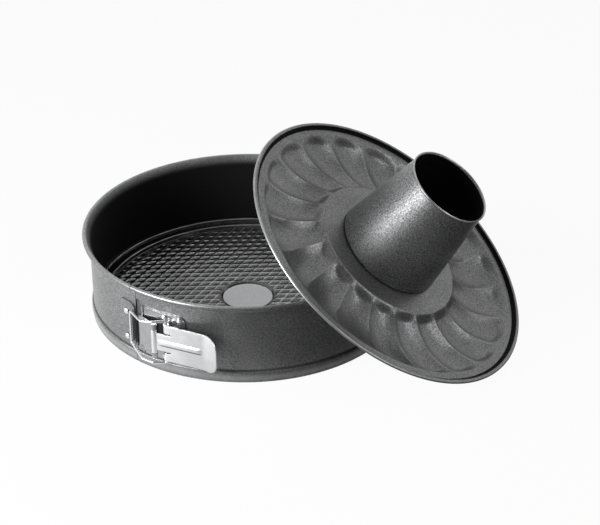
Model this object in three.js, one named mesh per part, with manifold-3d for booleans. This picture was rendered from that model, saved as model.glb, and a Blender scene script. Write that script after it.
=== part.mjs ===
// A springform cake tin with two bases, in millimetres, +Z up.
// The closed ring stands on the table round its flat base. The second base, a fluted plate with a centre
// tube, leans on the ring's rim with its edge on the table. The origin is the centre of the flat base's
// underside, and the photographer's side of the tin is -Y.
import * as THREE from 'three';
import { mergeVertices } from 'three/addons/utils/BufferGeometryUtils.js';
import Module from 'manifold-3d';

const wasm = await Module();
wasm.setup();

// Clearances
const SEAT_GAP = 0.3;
const EDGE_CLEARANCE = 0.5;
const PIN_CLEARANCE = 0.3;
const WIRE_CLEARANCE = 0.4;
const LAP_CLEARANCE = 0.5;
const LEAN_GAP = 0.4;
const TABLE_GAP = 0.1;

// Ring: one strip of sheet with a flared and rolled top edge, a channel at the foot and lapped ends
const RING_INNER_RADIUS = 129.2;
const RING_HEIGHT = 70.7;
const RING_SHEET = 0.8;
const CURL_RADIUS = 1.9;
const CURL_REACH = 4.9;
const CURL_END = -110;
const FLARE_LEAN = 30;
const FLARE_BEND = 2.6;
const CHANNEL_HEIGHT = 8.2;
const CHANNEL_BULGE = 0.5;
const CHANNEL_FOOT = 0.8;
const SHOULDER_HEIGHT = 1.4;
const SEAM_AZIMUTH = -132.5;
const SEAM_GAP = 0.5;
const LAP_LENGTH = 5;
const LAP_SHEET = 0.6;
const LAP_MARGIN = 4;
const RING_STEPS = 60;
const CURVE_STEPS = 3;

// Flat base
const BASE_SHEET = 0.9;
const BASE_EDGE_OVERLAP = 0.5;
const BASE_RIM_HEIGHT = 8.5;
const BASE_RIM_CREST = 1.8;
const BASE_EDGE_DROP = 1.1;
const GUTTER_WIDTH = 2.2;
const GUTTER_WALL = 0.8;
const BEAD_HEIGHT = 5.2;
const BEAD_CREST = 1.8;
const BEAD_SLOPE = 1.2;
const FLOOR_HEIGHT = 2.2;
const FLOOR_MARGIN = 2.5;
const MEDALLION_RADIUS = 21;
const MEDALLION_STEP = 1.5;
const WAFFLE_PITCH = 8.5;
const WAFFLE_ANGLE = 61;
const WAFFLE_RIDGE = 1;
const WAFFLE_FILM = 0.05;
const WAFFLE_ROOT = 0.4;
const ROUND_STEPS = 48;

// Fluted plate of the tube base, heights from the plane of its edge
const PLATE_SHEET = 0.8;
const PLATE_DROP = 2.1;
const PLATE_RIM_CREST = 2.2;
const PLATE_RIM_RISE = 0.8;
const PLATE_RIM_WALL = 0.7;
const PLATE_GROOVE_WIDTH = 2;
const PLATE_GROOVE_DEPTH = 1.2;
const FLUTE_COUNT = 20;
const FLUTE_INNER = 63;
const FLUTE_OUTER = 119;
const FLUTE_TROUGH = 8.3;
const FLUTE_DEPTH = 4;
const FLUTE_START = 2;
const FLUTE_SWIRL = 8.6;
const FLUTE_SCALLOP = 4;
const FLUTE_INNER_RAMP = 6;
const FLUTE_OUTER_RAMP = 6;
const FLUTE_STEPS = 4;
const FLUTE_RINGS = 9;

// Centre tube
const TUBE_SHEET = 0.8;
const TUBE_TOP_RADIUS = 34.2;
const TUBE_FOOT_RADIUS = 44.4;
const TUBE_HEIGHT = 81.5;
const TUBE_ROUND = 2;
const TUBE_FLARE = 4;
const TUBE_LIP = 0.7;
const TUBE_STEPS = 36;

// How the tube base leans: the plate's tilt, the way it faces and where its centre stands
const LEAN_TILT = 36.2;
const LEAN_HEADING = -24;
const LEAN_BEARING = -26.2;

// Latch, with arcs measured along the ring's outside from the seam
const LATCH_HEIGHT = 31;
const HINGE_ARC = 23.5;
const HINGE_STANDOFF = 8;
const PIN_RADIUS = 1.2;
const PIN_HEAD = 0.8;
const PIN_HEAD_RADIUS = 2;
const BARREL_WALL = 0.9;
const BARREL_HALF = 10.5;
const KNUCKLE_LENGTH = 4;
const LEVER_SHEET = 1.2;
const LEVER_SLOPE = 7;
const LEVER_WIDTH = 32;
const LEVER_STRAIGHT = 44;
const LEVER_TIP = 13;
const LEVER_TIP_BEND = 22;
const LEVER_CORNER = 10;
const NECK_WIDTH = 15;
const SLIT_WIDTH = 1.5;
const SLIT_LENGTH = 4.5;
const EAR_REACH = 9.9;
const EAR_DROP = 2;
const EAR_WALL = 1;
const RIB_START = 5;
const RIB_END = 40;
const RIB_WIDTH = 4.4;
const RIB_RISE = 1;
const WIRE_RADIUS = 1;
const WIRE_SIDES = 8;
const WIRE_STEPS = 52;
const BAIL_REST_WIDTH = 29;
const BAIL_BOW = 2.8;
const BAIL_BEND = 3.2;
const BAIL_MARGIN = 1.7;
const BAIL_PLAY = 1.6;
const HOOK_ARC = -4.5;
const HOOK_STANDOFF = 2.6;
const HOOK_WIDTH = 22;
const HOOK_HEIGHT = 1.3;
const KEEPER_SHEET = 0.9;
const KEEPER_LENGTH = 15;
const KEEPER_BOTTOM = 13;
const KEEPER_TOP = 52;
const KEEPER_CORNER = 7;
const KEEPER_RIVET_ARC = -10;
const KEEPER_RIVET_SPREAD = 23.2;
const BRACKET_SHEET = 1;
const BRACKET_START = 6;
const BRACKET_END = 47;
const BRACKET_BOTTOM = 11.5;
const BRACKET_TOP = 53.5;
const BRACKET_FOLD = 0.6;
const BRACKET_CORNER = 6;
const BRACKET_RIVET_ARCS = [29, 42];
const BRACKET_RIVET_INSET = 3.6;
const RIVET_RADIUS = 1.4;
const RIVET_HEAD_RADIUS = 2.6;
const RIVET_HEAD = 1.3;
const RIVET_TAIL = 0.8;
const RIVET_STEPS = 10;

// Worked-out sizes
const RING_OUTER_RADIUS = RING_INNER_RADIUS + RING_SHEET;
const EDGE_RADIUS = RING_INNER_RADIUS + BASE_EDGE_OVERLAP;
const CHANNEL_RADIUS = EDGE_RADIUS + EDGE_CLEARANCE;
const CURL_CENTRE = RING_INNER_RADIUS + CURL_REACH;
const TUBE_HOLE_RADIUS = TUBE_FOOT_RADIUS - TUBE_ROUND;
const BARREL_BORE = PIN_RADIUS + PIN_CLEARANCE;
const BARREL_RADIUS = BARREL_BORE + BARREL_WALL;
const EAR_BORE = WIRE_RADIUS + WIRE_CLEARANCE;
const EAR_RADIUS = EAR_BORE + EAR_WALL;
const EAR_START = NECK_WIDTH / 2 + SLIT_WIDTH;
const KNUCKLE_START = BARREL_HALF + SEAT_GAP;
const KNUCKLE_END = KNUCKLE_START + KNUCKLE_LENGTH;
const HINGE_RADIUS = RING_OUTER_RADIUS + HINGE_STANDOFF;
const BAIL_EAR_WIDTH = LEVER_WIDTH + 2 * (WIRE_RADIUS + BAIL_MARGIN);

const radians = THREE.MathUtils.degToRad;
const UP = new THREE.Vector3(0, 0, 1);

const coated = (color, roughness) => new THREE.MeshStandardMaterial({ color, roughness, metalness: 0.35 });
const steel = (color, roughness) => new THREE.MeshStandardMaterial({ color, roughness, metalness: 1 });
const RING_COATING = coated(0x3a3a3c, 0.5);
const BASE_COATING = coated(0x2f2f31, 0.55);
const PLATE_COATING = coated(0x58585a, 0.6);
const BRIGHT_STEEL = steel(0xd6d7d9, 0.22);
const RIVET_STEEL = steel(0xc8c9cb, 0.3);

// A closed geometry with shared corners and faces pointing out, from any closed three.js geometry.
function closed(geometry) {
  const bare = geometry.clone();
  bare.deleteAttribute('normal');
  bare.deleteAttribute('uv');
  const merged = mergeVertices(bare, 1e-4);
  const index = merged.getIndex().array;
  const corners = [new THREE.Vector3(), new THREE.Vector3(), new THREE.Vector3()];
  const kept = [];
  let volume = 0;
  for (let face = 0; face < index.length; face += 3) {
    const [a, b, c] = index.slice(face, face + 3);
    if (a === b || b === c || c === a) continue;
    kept.push(a, b, c);
    [a, b, c].forEach((vertex, i) => corners[i].fromBufferAttribute(merged.getAttribute('position'), vertex));
    volume += corners[0].dot(corners[1].cross(corners[2]));
  }
  merged.setIndex(volume < 0 ? kept.reverse() : kept);
  return merged;
}

function toSolid(geometry) {
  const mesh = closed(geometry);
  const vertProperties = new Float32Array(mesh.getAttribute('position').array);
  const triVerts = new Uint32Array(mesh.getIndex().array);
  return new wasm.Manifold(new wasm.Mesh({ numProp: 3, vertProperties, triVerts }));
}

function toGeometry(solid) {
  const mesh = solid.getMesh();
  const geometry = new THREE.BufferGeometry();
  geometry.setAttribute('position', new THREE.BufferAttribute(new Float32Array(mesh.vertProperties), 3));
  geometry.setIndex(new THREE.BufferAttribute(new Uint32Array(mesh.triVerts), 1));
  return geometry;
}

function join(first, ...others) {
  return others.reduce((whole, other) => whole.add(other), first);
}

function cut(first, ...others) {
  return others.reduce((whole, other) => whole.subtract(other), first);
}

// A point at an azimuth and a distance from the ring's axis.
function polar(azimuth, radius) {
  return new THREE.Vector2(radius * Math.cos(azimuth), radius * Math.sin(azimuth));
}

// The azimuth of a point that lies a given arc along the ring's outside from the seam.
function azimuthAt(arc) {
  return radians(SEAM_AZIMUTH) + arc / RING_OUTER_RADIUS;
}

// Points on an arc of the ring between two arcs from the seam.
function ringPoints(from, to, radius, steps) {
  const points = [];
  for (let i = 0; i <= steps; i += 1) {
    points.push(polar(azimuthAt(from + (to - from) * (i / steps)), radius));
  }
  return points;
}

// A sheet's section: the path is one face, and the other lies to the right of it, or left if negative.
function sheetSection(path, thickness) {
  const offsets = path.map((point, i) => {
    const before = i > 0 ? point.clone().sub(path[i - 1]).normalize() : null;
    const after = i < path.length - 1 ? path[i + 1].clone().sub(point).normalize() : null;
    const first = before ?? after;
    const second = after ?? before;
    const normal = new THREE.Vector2(first.y + second.y, -first.x - second.x);
    return normal.multiplyScalar(thickness / (1 + first.dot(second))).add(point);
  });
  return [...path, ...offsets.reverse()];
}

// A section of radius and height turned once round the Z axis.
function revolve(section, steps, start = 0) {
  const onAxis = section[0].x === 0;
  const profile = onAxis ? section : [...section, section[0]];
  const geometry = new THREE.LatheGeometry(profile, steps, start);
  return geometry.rotateX(Math.PI / 2);
}

// A flat outline in X and Y raised from one height to another.
function prism(outline, bottom, top) {
  const shape = outline instanceof THREE.Shape ? outline : new THREE.Shape(outline);
  const options = { depth: top - bottom, bevelEnabled: false, curveSegments: 8 };
  const geometry = new THREE.ExtrudeGeometry(shape, options);
  return geometry.translate(0, 0, bottom);
}

// An upright rod centred on a point of the X, Y plane.
function rod(radius, bottom, top, x = 0, y = 0, steps = 16) {
  const geometry = new THREE.CylinderGeometry(radius, radius, top - bottom, steps);
  return geometry.rotateX(Math.PI / 2).translate(x, y, (bottom + top) / 2);
}

// A circular path round the Z axis.
class RingPath extends THREE.Curve {
  constructor(radius, start, sweep) {
    super();
    Object.assign(this, { radius, start, sweep });
  }

  getPoint(t, target = new THREE.Vector3()) {
    const flat = polar(this.start + this.sweep * t, this.radius);
    return target.set(flat.x, flat.y, 0);
  }
}

// Where the ring's wall starts to flare, where its flare would meet the wall, and where the roll starts.
function ringFlare() {
  const lean = radians(FLARE_LEAN);
  const end = polar(Math.PI - lean, CURL_RADIUS).add(new THREE.Vector2(CURL_CENTRE, RING_HEIGHT - CURL_RADIUS));
  const corner = new THREE.Vector2(RING_INNER_RADIUS, end.y - (end.x - RING_INNER_RADIUS) / Math.tan(lean));
  const start = new THREE.Vector2(RING_INNER_RADIUS, corner.y - FLARE_BEND);
  return { start, corner, end };
}

// Section of the ring's strip: channel, shoulder, wall, flare and the rolled top edge, as radius and height.
function ringSection() {
  const flare = ringFlare();
  const rollStart = Math.PI - radians(FLARE_LEAN);
  const bulge = CHANNEL_RADIUS + 2 * CHANNEL_BULGE;
  const path = new THREE.Path();
  path.moveTo(CHANNEL_RADIUS, 0);
  path.lineTo(CHANNEL_RADIUS, CHANNEL_FOOT);
  path.quadraticCurveTo(bulge, (CHANNEL_FOOT + CHANNEL_HEIGHT) / 2, CHANNEL_RADIUS, CHANNEL_HEIGHT);
  path.lineTo(RING_INNER_RADIUS, CHANNEL_HEIGHT + SHOULDER_HEIGHT);
  path.lineTo(flare.start.x, flare.start.y);
  path.quadraticCurveTo(flare.corner.x, flare.corner.y, flare.end.x, flare.end.y);
  path.absarc(CURL_CENTRE, RING_HEIGHT - CURL_RADIUS, CURL_RADIUS, rollStart, radians(CURL_END), true);
  return sheetSection(path.getPoints(CURVE_STEPS), RING_SHEET);
}

// Rivet holes through the ring, and the rivets that fill them, share these places.
function rivetPlaces() {
  const bracketHeights = [BRACKET_TOP - BRACKET_RIVET_INSET, BRACKET_BOTTOM + BRACKET_RIVET_INSET];
  const places = [1, -1].map((side) => ({
    name: `keeper_rivet_${side > 0 ? 'upper' : 'lower'}`,
    arc: KEEPER_RIVET_ARC,
    height: LATCH_HEIGHT + (side * KEEPER_RIVET_SPREAD) / 2,
    sheet: KEEPER_SHEET,
  }));
  BRACKET_RIVET_ARCS.forEach((arc, column) => {
    bracketHeights.forEach((height, row) => {
      const name = `bracket_rivet_${row === 0 ? 'upper' : 'lower'}_${column + 1}`;
      places.push({ name, arc, height, sheet: BRACKET_SHEET });
    });
  });
  return places;
}

// A bar through the ring at a rivet's place, from inside it to well outside.
function rivetHole({ arc, height }) {
  const from = RING_INNER_RADIUS - HINGE_STANDOFF;
  const to = RING_OUTER_RADIUS + HINGE_STANDOFF;
  const bar = rod(RIVET_RADIUS + PIN_CLEARANCE, from, to, 0, 0, RIVET_STEPS);
  return bar.rotateY(Math.PI / 2).rotateZ(azimuthAt(arc)).translate(0, 0, height);
}

// A tool that rounds off one corner of a plate on the ring; along and up say which way the corner points.
function cornerCut(arc, height, radius, along, up) {
  const beyond = radius + RING_SHEET;
  const shape = new THREE.Shape();
  shape.absarc(0, 0, radius, 0, Math.PI / 2, false);
  shape.lineTo(0, beyond);
  shape.lineTo(beyond, beyond);
  shape.lineTo(beyond, 0);
  const azimuth = azimuthAt(arc - along * radius);
  const outward = polar(azimuth, 1);
  const sideways = new THREE.Vector3(-outward.y * along, outward.x * along, 0);
  const upward = new THREE.Vector3(0, 0, up);
  const frame = new THREE.Matrix4().makeBasis(sideways, upward, new THREE.Vector3(outward.x, outward.y, 0));
  const foot = polar(azimuth, RING_INNER_RADIUS);
  return prism(shape, 0, HINGE_STANDOFF).applyMatrix4(frame).translate(foot.x, foot.y, height - up * radius);
}

function makeSideBand() {
  const seamAngle = SEAM_GAP / RING_OUTER_RADIUS;
  const start = radians(SEAM_AZIMUTH) + seamAngle / 2;
  const sweep = 2 * Math.PI - seamAngle;
  const facet = sweep / RING_STEPS;
  const section = ringSection().map((p) => new THREE.Vector2(-p.y, RING_INNER_RADIUS - p.x));
  const extrudePath = new RingPath(RING_INNER_RADIUS, start, sweep);
  const strip = new THREE.ExtrudeGeometry(new THREE.Shape(section), { steps: RING_STEPS, extrudePath });

  // The right end's wall is set inward and runs on behind the left end.
  const bottom = CHANNEL_HEIGHT + SHOULDER_HEIGHT + LAP_MARGIN;
  const top = ringFlare().start.y - LAP_MARGIN;
  const faceRadius = RING_INNER_RADIUS + (RING_SHEET - LAP_SHEET) / 2;
  const lapRadius = RING_INNER_RADIUS - LAP_CLEARANCE - LAP_SHEET;
  const lapAngle = LAP_LENGTH / RING_OUTER_RADIUS;
  const rooted = polar(start + facet, faceRadius);
  const tonguePath = [
    rooted.clone().lerp(polar(start + 2 * facet, faceRadius), 0.5),
    rooted,
    polar(start + facet / 2, lapRadius),
    polar(start, lapRadius),
    polar(start - seamAngle - lapAngle, lapRadius),
  ];
  const tongue = prism(sheetSection(tonguePath, -LAP_SHEET), bottom, top);
  const reach = 2 * RING_SHEET;
  const window = [
    polar(start - seamAngle / 2, RING_INNER_RADIUS - reach),
    polar(start + 0.97 * facet, RING_INNER_RADIUS - reach),
    polar(start + 0.97 * facet, RING_OUTER_RADIUS + reach),
    polar(start - seamAngle / 2, RING_OUTER_RADIUS + reach),
  ];
  const opened = cut(toSolid(strip), toSolid(prism(window, bottom - SEAM_GAP, top + SEAM_GAP)));
  const holes = rivetPlaces().map((place) => toSolid(rivetHole(place)));
  return toGeometry(cut(join(opened, toSolid(tongue)), ...holes));
}

// Top face of the flat base from its centre to its edge, as radius and height.
function flatBasePath() {
  const crestEnd = EDGE_RADIUS - BASE_EDGE_DROP;
  const crestStart = crestEnd - BASE_RIM_CREST;
  const gutterEnd = crestStart - GUTTER_WALL;
  const gutterStart = gutterEnd - GUTTER_WIDTH;
  const beadEnd = gutterStart - GUTTER_WALL;
  const beadStart = beadEnd - BEAD_CREST;
  return [
    new THREE.Vector2(0, BASE_SHEET),
    new THREE.Vector2(MEDALLION_RADIUS, BASE_SHEET),
    new THREE.Vector2(MEDALLION_RADIUS + MEDALLION_STEP, FLOOR_HEIGHT),
    new THREE.Vector2(beadStart - BEAD_SLOPE, FLOOR_HEIGHT),
    new THREE.Vector2(beadStart, BEAD_HEIGHT),
    new THREE.Vector2(beadEnd, BEAD_HEIGHT),
    new THREE.Vector2(gutterStart, BASE_SHEET),
    new THREE.Vector2(gutterEnd, BASE_SHEET),
    new THREE.Vector2(crestStart, BASE_RIM_HEIGHT),
    new THREE.Vector2(crestEnd, BASE_RIM_HEIGHT),
    new THREE.Vector2(EDGE_RADIUS, BASE_RIM_HEIGHT - BASE_EDGE_DROP),
  ];
}

// A slab whose top is a slanted lattice of ridges with a dimple in each cell.
function waffleSlab(radius) {
  const along = new THREE.Vector2(WAFFLE_PITCH, 0);
  const across = polar(radians(WAFFLE_ANGLE), WAFFLE_PITCH);
  const half = Math.ceil(radius / across.y) + 1;
  const count = 2 * half + 1;
  const vertices = [];
  const faces = [];
  const node = (i, j) => (i * count + j) * 3;
  for (let i = 0; i < count; i += 1) {
    for (let j = 0; j < count; j += 1) {
      const corner = along.clone().multiplyScalar(i - half).addScaledVector(across, j - half);
      const middle = corner.clone().addScaledVector(along, 0.5).addScaledVector(across, 0.5);
      vertices.push(corner.x, corner.y, FLOOR_HEIGHT + WAFFLE_RIDGE);
      vertices.push(corner.x, corner.y, FLOOR_HEIGHT - WAFFLE_ROOT);
      vertices.push(middle.x, middle.y, FLOOR_HEIGHT + WAFFLE_FILM);
    }
  }
  for (let i = 0; i < count - 1; i += 1) {
    for (let j = 0; j < count - 1; j += 1) {
      const ring = [node(i, j), node(i + 1, j), node(i + 1, j + 1), node(i, j + 1)];
      const edges = [j === 0, i === count - 2, j === count - 2, i === 0];
      ring.forEach((a, side) => {
        const b = ring[(side + 1) % ring.length];
        faces.push(a, b, node(i, j) + 2);
        if (edges[side]) faces.push(a, a + 1, b + 1, a, b + 1, b);
      });
      faces.push(ring[0] + 1, ring[2] + 1, ring[1] + 1, ring[0] + 1, ring[3] + 1, ring[2] + 1);
    }
  }
  const used = new THREE.BufferGeometry();
  used.setAttribute('position', new THREE.Float32BufferAttribute(vertices, 3));
  used.setIndex(faces);
  return closed(used.toNonIndexed());
}

function makeFlatBase() {
  const path = flatBasePath();
  const inner = MEDALLION_RADIUS + 2 * MEDALLION_STEP;
  const outer = path[3].x - FLOOR_MARGIN;
  const field = [
    new THREE.Vector2(inner, FLOOR_HEIGHT - WAFFLE_ROOT / 2),
    new THREE.Vector2(outer, FLOOR_HEIGHT - WAFFLE_ROOT / 2),
    new THREE.Vector2(outer, FLOOR_HEIGHT + 2 * WAFFLE_RIDGE),
    new THREE.Vector2(inner, FLOOR_HEIGHT + 2 * WAFFLE_RIDGE),
  ];
  const waffle = toSolid(waffleSlab(outer)).intersect(toSolid(revolve(field, ROUND_STEPS)));
  const dish = toSolid(revolve(sheetSection(path, BASE_SHEET), ROUND_STEPS));
  return toGeometry(dish.add(waffle));
}

// Share of the way from the flutes' outer ends to their inner ends.
function fluteRun(radius) {
  return THREE.MathUtils.clamp((FLUTE_OUTER - radius) / (FLUTE_OUTER - FLUTE_INNER), 0, 1);
}

// Angle that a flute's ridge has turned to at a radius.
function fluteSwirl(radius) {
  return radians(FLUTE_START - FLUTE_SWIRL * fluteRun(radius));
}

// Depth at a radius and a share of the way across one flute: a rounded trough with scoops in it.
function fluteDepth(radius, share) {
  const across = 4 * share * (1 - share);
  const outerEnd = FLUTE_OUTER - FLUTE_SCALLOP * (1 - across);
  const inward = THREE.MathUtils.smoothstep(radius, FLUTE_INNER, FLUTE_INNER + FLUTE_INNER_RAMP);
  const outward = THREE.MathUtils.smoothstep(outerEnd - radius, 0, FLUTE_OUTER_RAMP);
  const run = fluteRun(radius);
  return 4 * run * (1 - run) * FLUTE_TROUGH + across * inward * outward * FLUTE_DEPTH;
}

// Top face of the plate's rim, outside the flutes, as radius and height.
function plateRim() {
  const crestEnd = EDGE_RADIUS - PLATE_RIM_RISE;
  const crestStart = crestEnd - PLATE_RIM_CREST;
  const wallFoot = crestStart - PLATE_RIM_WALL;
  const grooveMiddle = wallFoot - PLATE_GROOVE_WIDTH / 2;
  return [
    new THREE.Vector2(wallFoot - PLATE_GROOVE_WIDTH, -PLATE_DROP),
    new THREE.Vector2(grooveMiddle, -PLATE_DROP - PLATE_GROOVE_DEPTH),
    new THREE.Vector2(wallFoot, -PLATE_DROP),
    new THREE.Vector2(crestStart, PLATE_RIM_RISE),
    new THREE.Vector2(crestEnd, PLATE_RIM_RISE),
    new THREE.Vector2(EDGE_RADIUS, 0),
  ];
}

// Radii of the plate's mesh rings with the height of the flat sheet there.
function plateRings() {
  const rings = [new THREE.Vector2(TUBE_HOLE_RADIUS, -PLATE_DROP)];
  for (let i = 0; i <= FLUTE_RINGS; i += 1) {
    const eased = (1 - Math.cos((Math.PI * i) / FLUTE_RINGS)) / 2;
    const share = THREE.MathUtils.lerp(i / FLUTE_RINGS, eased, 0.6);
    rings.push(new THREE.Vector2(THREE.MathUtils.lerp(FLUTE_INNER, FLUTE_OUTER, share), -PLATE_DROP));
  }
  return [...rings, ...plateRim()];
}

// The plate as one closed sheet: a top face, the same face a sheet lower, and the two edges.
function makeFlutedPlate() {
  const rings = plateRings();
  const turns = FLUTE_COUNT * FLUTE_STEPS;
  const vertices = [];
  const faces = [];
  const at = (ring, turn, side) => (ring * turns + (turn % turns)) * 2 + side;
  rings.forEach(({ x: radius, y: level }) => {
    for (let turn = 0; turn < turns; turn += 1) {
      const share = (turn % FLUTE_STEPS) / FLUTE_STEPS;
      const point = polar((2 * Math.PI * turn) / turns + fluteSwirl(radius), radius);
      const height = level - fluteDepth(radius, share);
      vertices.push(point.x, point.y, height, point.x, point.y, height - PLATE_SHEET);
    }
  });
  const quad = (a, b, c, d) => faces.push(a, b, c, a, c, d);
  const last = rings.length - 1;
  for (let turn = 0; turn < turns; turn += 1) {
    for (let ring = 0; ring < last; ring += 1) {
      quad(at(ring, turn, 0), at(ring + 1, turn, 0), at(ring + 1, turn + 1, 0), at(ring, turn + 1, 0));
      quad(at(ring, turn, 1), at(ring, turn + 1, 1), at(ring + 1, turn + 1, 1), at(ring + 1, turn, 1));
    }
    quad(at(0, turn, 0), at(0, turn + 1, 0), at(0, turn + 1, 1), at(0, turn, 1));
    quad(at(last, turn, 0), at(last, turn, 1), at(last, turn + 1, 1), at(last, turn + 1, 0));
  }
  const geometry = new THREE.BufferGeometry();
  geometry.setAttribute('position', new THREE.Float32BufferAttribute(vertices, 3));
  geometry.setIndex(faces);
  return closed(geometry);
}

// The tube, from the flare under the plate, up through its hole and round its foot, to its rolled lip.
function makeCentreTube() {
  const under = -PLATE_DROP - PLATE_SHEET - SEAT_GAP;
  const seat = -PLATE_DROP + SEAT_GAP;
  const neck = TUBE_HOLE_RADIUS - SEAT_GAP;
  const lipHeight = TUBE_HEIGHT - PLATE_DROP;
  const path = new THREE.Path();
  path.moveTo(TUBE_HOLE_RADIUS + TUBE_FLARE, under);
  path.lineTo(neck, under);
  path.lineTo(neck, seat);
  path.lineTo(TUBE_HOLE_RADIUS, seat);
  path.absarc(TUBE_HOLE_RADIUS, seat + TUBE_ROUND, TUBE_ROUND, -Math.PI / 2, 0, false);
  path.lineTo(TUBE_TOP_RADIUS, lipHeight - 3 * TUBE_LIP);
  path.lineTo(TUBE_TOP_RADIUS + TUBE_LIP, lipHeight - 2 * TUBE_LIP);
  path.lineTo(TUBE_TOP_RADIUS + TUBE_LIP, lipHeight - TUBE_LIP);
  path.lineTo(TUBE_TOP_RADIUS, lipHeight);
  return closed(revolve(sheetSection(path.getPoints(CURVE_STEPS), -TUBE_SHEET), TUBE_STEPS));
}

// The leaning tube base: its edge stands on the table and its flare lies on the ring's rolled edge.
function makeTubeBase() {
  const tilt = radians(LEAN_TILT);
  const skew = radians(LEAN_BEARING - LEAN_HEADING);
  const bore = TUBE_HOLE_RADIUS - SEAT_GAP - TUBE_SHEET;
  const aside = bore - CURL_CENTRE * Math.abs(Math.sin(skew));
  const rimReach = Math.sqrt(CURL_CENTRE ** 2 - aside ** 2);
  const underside = PLATE_DROP + PLATE_SHEET + SEAT_GAP + TUBE_SHEET;
  const depths = plateRim().map((p) => p.x * Math.sin(tilt) + (PLATE_SHEET - p.y) * Math.cos(tilt));
  const height = Math.max(...depths) + TABLE_GAP;
  const drop = (RING_HEIGHT - CURL_RADIUS - height) * Math.cos(tilt);
  const reach = rimReach + (drop + CURL_RADIUS + underside + LEAN_GAP) / Math.sin(tilt);
  const centre = polar(radians(LEAN_BEARING), reach / Math.cos(skew));
  const group = new THREE.Group();
  group.position.set(centre.x, centre.y, height);
  group.rotation.set(0, tilt, radians(LEAN_HEADING), 'ZYX');
  group.add(named('fluted_plate', makeFlutedPlate(), PLATE_COATING));
  group.add(named('centre_tube', makeCentreTube(), RING_COATING));
  return group;
}

// A rivet along X: a flat tail inside the ring, a shank and a domed head on the sheet outside.
function makeRivet(sheet) {
  const tail = RING_INNER_RADIUS - 2 * SEAT_GAP;
  const seat = RING_OUTER_RADIUS + SEAT_GAP + sheet + SEAT_GAP;
  const path = new THREE.Path();
  path.moveTo(0, tail - RIVET_TAIL);
  path.lineTo(RIVET_HEAD_RADIUS, tail - RIVET_TAIL);
  path.lineTo(RIVET_HEAD_RADIUS, tail);
  path.lineTo(RIVET_RADIUS, tail);
  path.lineTo(RIVET_RADIUS, seat);
  path.lineTo(RIVET_HEAD_RADIUS, seat);
  path.quadraticCurveTo(RIVET_HEAD_RADIUS, seat + RIVET_HEAD, 0, seat + RIVET_HEAD);
  const turned = revolve(path.getPoints(3), RIVET_STEPS);
  return closed(turned.rotateY(Math.PI / 2));
}

// Keeper: a plate on the left end of the ring with a hook that stands up on the bail's right.
function makeKeeper() {
  const seat = RING_OUTER_RADIUS + SEAT_GAP;
  const hookArc = HOOK_ARC + WIRE_RADIUS + BAIL_PLAY + KEEPER_SHEET;
  const hookTop = RING_OUTER_RADIUS + HOOK_STANDOFF + HOOK_HEIGHT;
  const path = ringPoints(hookArc - KEEPER_LENGTH, hookArc, seat, 4);
  path.push(polar(azimuthAt(hookArc), hookTop));
  const plate = prism(sheetSection(path, KEEPER_SHEET), KEEPER_BOTTOM, KEEPER_TOP);
  const face = ringPoints(hookArc - 2 * BAIL_PLAY, hookArc + BAIL_PLAY, seat + KEEPER_SHEET, 2);
  const clearing = sheetSection(face, HINGE_STANDOFF);
  const above = prism(clearing, LATCH_HEIGHT + HOOK_WIDTH / 2, KEEPER_TOP + BAIL_PLAY);
  const below = prism(clearing, KEEPER_BOTTOM - BAIL_PLAY, LATCH_HEIGHT - HOOK_WIDTH / 2);
  const corners = [
    cornerCut(hookArc + KEEPER_SHEET, KEEPER_TOP, KEEPER_CORNER, 1, 1),
    cornerCut(hookArc + KEEPER_SHEET, KEEPER_BOTTOM, KEEPER_CORNER, 1, -1),
  ];
  const holes = rivetPlaces().map((place) => toSolid(rivetHole(place)));
  return toGeometry(cut(toSolid(plate), toSolid(above), toSolid(below), ...corners.map(toSolid), ...holes));
}

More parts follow.
